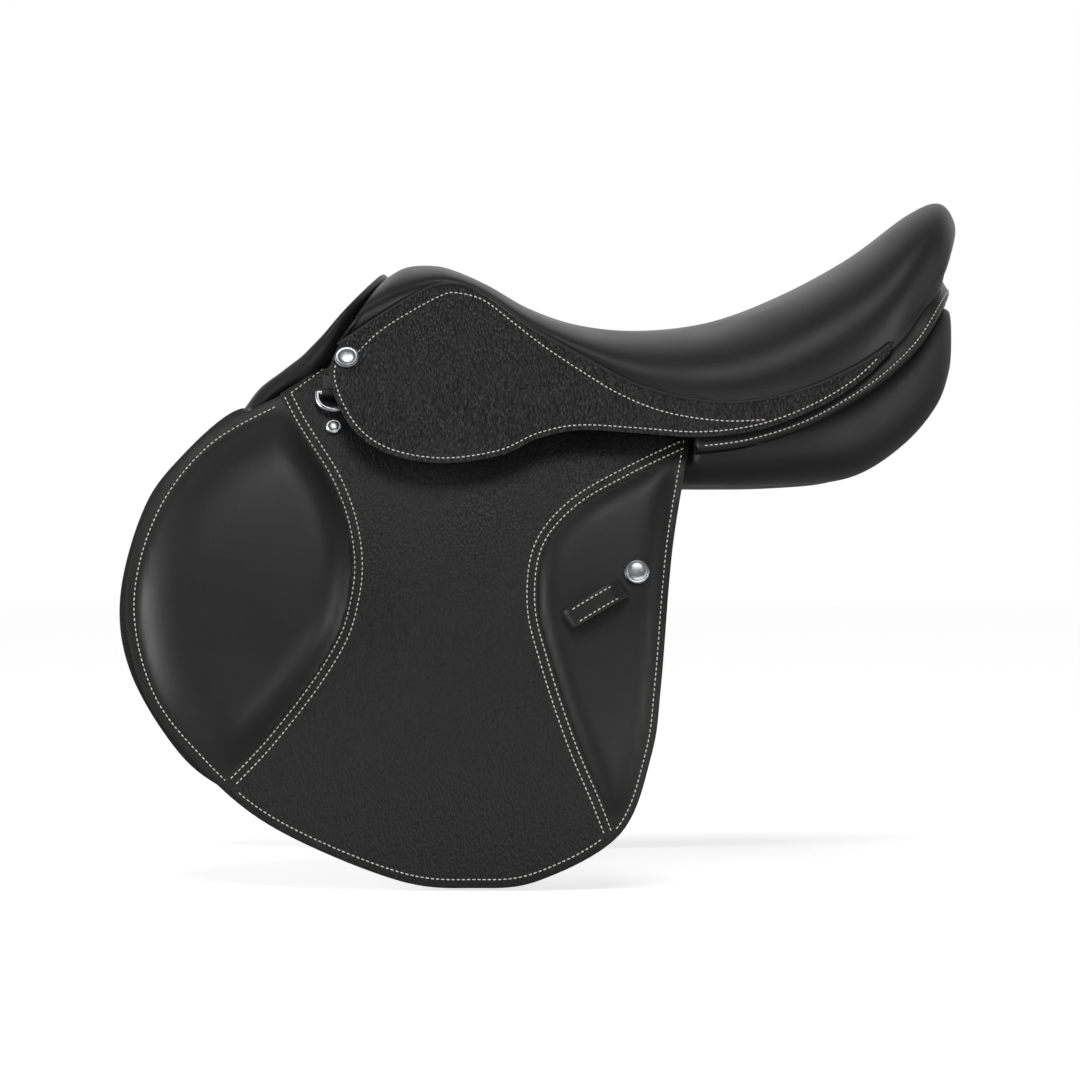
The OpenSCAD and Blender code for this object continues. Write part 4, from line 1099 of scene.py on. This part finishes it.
def build_keeper():
    def place(u, v):
        p = spline_at(keeper_line, v)
        return Vector((p.x, (2 * u - 1) * KEEPER_W / 2, p.y))
    bm = gridded(4, 60, place)
    face_up(bm)
    bmesh.ops.solidify(bm, geom=bm.faces[:], thickness=-KEEPER_T)
    round_edges(bm, [e for e in bm.edges if e.is_manifold and e.calc_face_angle() > 1.2], KEEPER_RIM, 2)
    bmesh.ops.transform(bm, matrix=keeper_place(), verts=bm.verts)
    return bm


def build_keeper_stitches():
    bm = bmesh.new()
    place = keeper_place()
    for across in (-KEEPER_W / 2 + KEEPER_ROW_IN, KEEPER_W / 2 - KEEPER_ROW_IN):
        line = [place @ Vector((p.x, across, p.y + KEEPER_T)) for p in keeper_line[3:-3]]
        points = evenly(line, STITCH_PITCH)
        normal = place.to_3x3() @ Vector((0, 0, 1))
        sew(bm, points, [normal] * len(points), 0.0)
    return bm


keepers = pair("keeper_loop", build_keeper, smooth_leather)
keeper_rows = pair("keeper_stitches", build_keeper_stitches, thread, 0)
for piece, row, side in zip(keepers, keeper_rows, SIDES):
    fit(piece, "keeper_" + side, "flap_" + side)
    fit(row, body="flap_" + side)

# %% Ring chapes
RING = (-0.533 * SEAT_LEN, 0.309 * SEAT_H)
CHAPE_W, CHAPE_T, CHAPE_LEN, CHAPE_RISE = 16, 2.2, 16, 1.5
CHAPE_FLAT, CHAPE_TURN, CHAPE_R, RING_LEVEL = 0.35, 1.45 * math.pi, 2.1 + CHAPE_T / 2, 4.7


def chape_place(u, v):
    across = (2 * u - 1) * CHAPE_W / 2
    if v < CHAPE_FLAT:
        return Vector((across, CHAPE_LEN * (1 - v / CHAPE_FLAT), CHAPE_RISE))
    a = CHAPE_TURN * (v - CHAPE_FLAT) / (1 - CHAPE_FLAT)
    return Vector((across, -CHAPE_R * math.sin(a), RING_LEVEL - CHAPE_R * math.cos(a)))


def build_chape():
    bm = gridded(6, 48, chape_place)
    bmesh.ops.solidify(bm, geom=bm.faces[:], thickness=CHAPE_T)
    bmesh.ops.transform(bm, matrix=at_side(*RING, FLAP_T), verts=bm.verts)
    return bm


fit_both(pair("ring_chape_loop", build_chape, smooth_leather), "ring_chape")

# %% [markdown]
# ## Webs under the seat
# Linen webs hold the seat up: one lies along the tree, and two cross it and carry the girth straps.

# %% Webs
WEB_T, LONG_DEPTH, CROSS_DEPTH = 1.2, 12.7, 14.5
LONG_FIRST, LONG_LAST, LONG_BREADTH, CROSS_BREADTH = 2, 22, 1 / 3, 5 / 6
STRAP_IN, WEB_LOW, WEB_BELOW_SEAM = -12.15, 28.0, 45


def build_long_web():
    def place(u, v):
        t = (LONG_FIRST + (LONG_LAST - LONG_FIRST) * u) / SEAT_STATIONS
        return seat_point(t, (2 * v - 1) * LONG_BREADTH, LONG_DEPTH)
    return gridded(60, 16, place)


def build_cross_web(first, last):
    def place(u, v):
        t = (first + (last - first) * u) / SEAT_STATIONS
        seam = spline_at(seam_line, t)
        high = seam.y - WEB_BELOW_SEAM
        lows = [on_side(seam.x, z, STRAP_IN) for z in (WEB_LOW, (STRAP_TOP + high) / 2, high)]
        over = [seat_point(t, CROSS_BREADTH * (k / 10 - 1), CROSS_DEPTH) for k in range(21)]
        far = [Vector((p.x, -p.y, p.z)) for p in lows[::-1]]
        return spline_at(lows + over + far, v)
    return gridded(10, 110, place)


webs = [("straining_web", build_long_web()), ("girth_web_front", build_cross_web(5, 7)),
        ("girth_web_rear", build_cross_web(9, 12))]
for name, bm in webs:
    area = sum(f.calc_area() for f in bm.faces) * MM * MM
    bmesh.ops.solidify(bm, geom=bm.faces[:], thickness=WEB_T)
    web = finish_piece(name + "_linen", bm, linen)
    fit(web, name)

# %% [markdown]
# ## Finishes for the CAD pieces that stay
# Metal and wood are rigid, and their solids have the right shape. They keep it and get a finish.

# %% Metal and wood
def dress(names, material):
    for name in names:
        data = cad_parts[name].data
        data.materials.clear()
        data.materials.append(material)


dress(["tree"], beech)
dress(["gullet_plate", "head_rivets", "bar_rivets", "catch_pins"], steel)
dress([name + "_" + side for name in ("stirrup_bar", "bar_catch") for side in SIDES], steel)
dress(["d_ring_" + side for side in SIDES], nickel)

# %% [markdown]
# ## Studio
# A pale floor, and a background that is white for the camera alone. Reflections see a white room that is
# dimmer in front and above, so that the leather keeps its dark folds. The light is soft: a wide sun from
# above, which lights the floor evenly as far as the horizon, and three large lamps for the leather's sheen.
# For the camera the floor also glows, up to white, and keeps the saddle's shadow.

# %% Floor, world and lamps
FLOOR_Z = cad_box[0].z - 0.002
FLOOR_HALF, FLOOR_GLOW = 12.0, 0.73
AMBIENT, DIM_ROOM = 0.08, 0.22
WHITE = (1, 1, 1, 1)
floor_mesh = bmesh.new()
bmesh.ops.create_grid(floor_mesh, x_segments=1, y_segments=1, size=FLOOR_HALF)
bmesh.ops.translate(floor_mesh, verts=floor_mesh.verts, vec=(0, 0, FLOOR_Z))
floor_data = bpy.data.meshes.new("floor")
floor_mesh.to_mesh(floor_data)
floor_mesh.free()
floor = add_object("floor", floor_data)
floor_finish, floor_tree, floor_shader = new_finish("pale_floor")
floor_sight = add_node(floor_tree, "ShaderNodeLightPath")
floor_glow = add_node(floor_tree, "ShaderNodeMath", {
    0: floor_sight.outputs["Is Camera Ray"], 1: FLOOR_GLOW}, operation="MULTIPLY")
feed(floor_tree, floor_shader, {
    "Base Color": linear("#f2f2f2"), "Roughness": 0.9, "Specular IOR Level": 0.0, "Emission Color": WHITE,
    "Emission Strength": floor_glow.outputs[0]})
floor_data.materials.append(floor_finish)

world = bpy.data.worlds.new("studio")
bpy.context.scene.world = world
world.use_nodes = True
sky = world.node_tree
path = add_node(sky, "ShaderNodeLightPath")
mirrored = add_node(sky, "ShaderNodeMath", {
    0: path.outputs["Is Glossy Ray"], 1: path.outputs["Is Transmission Ray"]}, operation="MAXIMUM")
way = add_node(sky, "ShaderNodeVectorMath", {
    0: add_node(sky, "ShaderNodeTexCoord").outputs["Generated"], 1: (0, 1, -1)}, operation="DOT_PRODUCT")
room = add_node(sky, "ShaderNodeMapRange", {
    "Value": way.outputs["Value"], "From Min": -1.0, "From Max": -0.2, "To Min": DIM_ROOM, "To Max": 1.0})
indoors = add_node(sky, "ShaderNodeMapRange", {
    "Value": mirrored.outputs[0], "To Min": AMBIENT, "To Max": room.outputs["Result"]})
strength = add_node(sky, "ShaderNodeMapRange", {
    "Value": path.outputs["Is Camera Ray"], "To Min": indoors.outputs["Result"], "To Max": 1.0})
feed(sky, sky.nodes["Background"], {"Color": WHITE, "Strength": strength.outputs["Result"]})


def lamp(name, place, aim, size, power):
    data = bpy.data.lights.new(name, "AREA")
    data.shape = "RECTANGLE"
    data.size, data.size_y = size
    data.energy = power
    made = add_object(name, data)
    made.location = place
    made.rotation_euler = (Vector(aim) - Vector(place)).to_track_quat("-Z", "Y").to_euler()


sun = add_object("sun", bpy.data.lights.new("sun", "SUN"))
sun.data.energy = 0.78
sun.data.angle = math.radians(28)
sun.rotation_euler = (math.radians(34), math.radians(2), 0)
lamp("front", (0.4, -2.6, -0.1), (0, 0, -0.1), (1.8, 1.0), 16)
lamp("left", (-2.3, -0.9, 0.3), (-0.1, 0, 0), (1.0, 1.4), 42)
lamp("right", (2.0, -1.5, -0.05), (0.1, 0, 0), (1.0, 1.4), 21)
bpy.context.scene.view_settings.view_transform = "Standard"
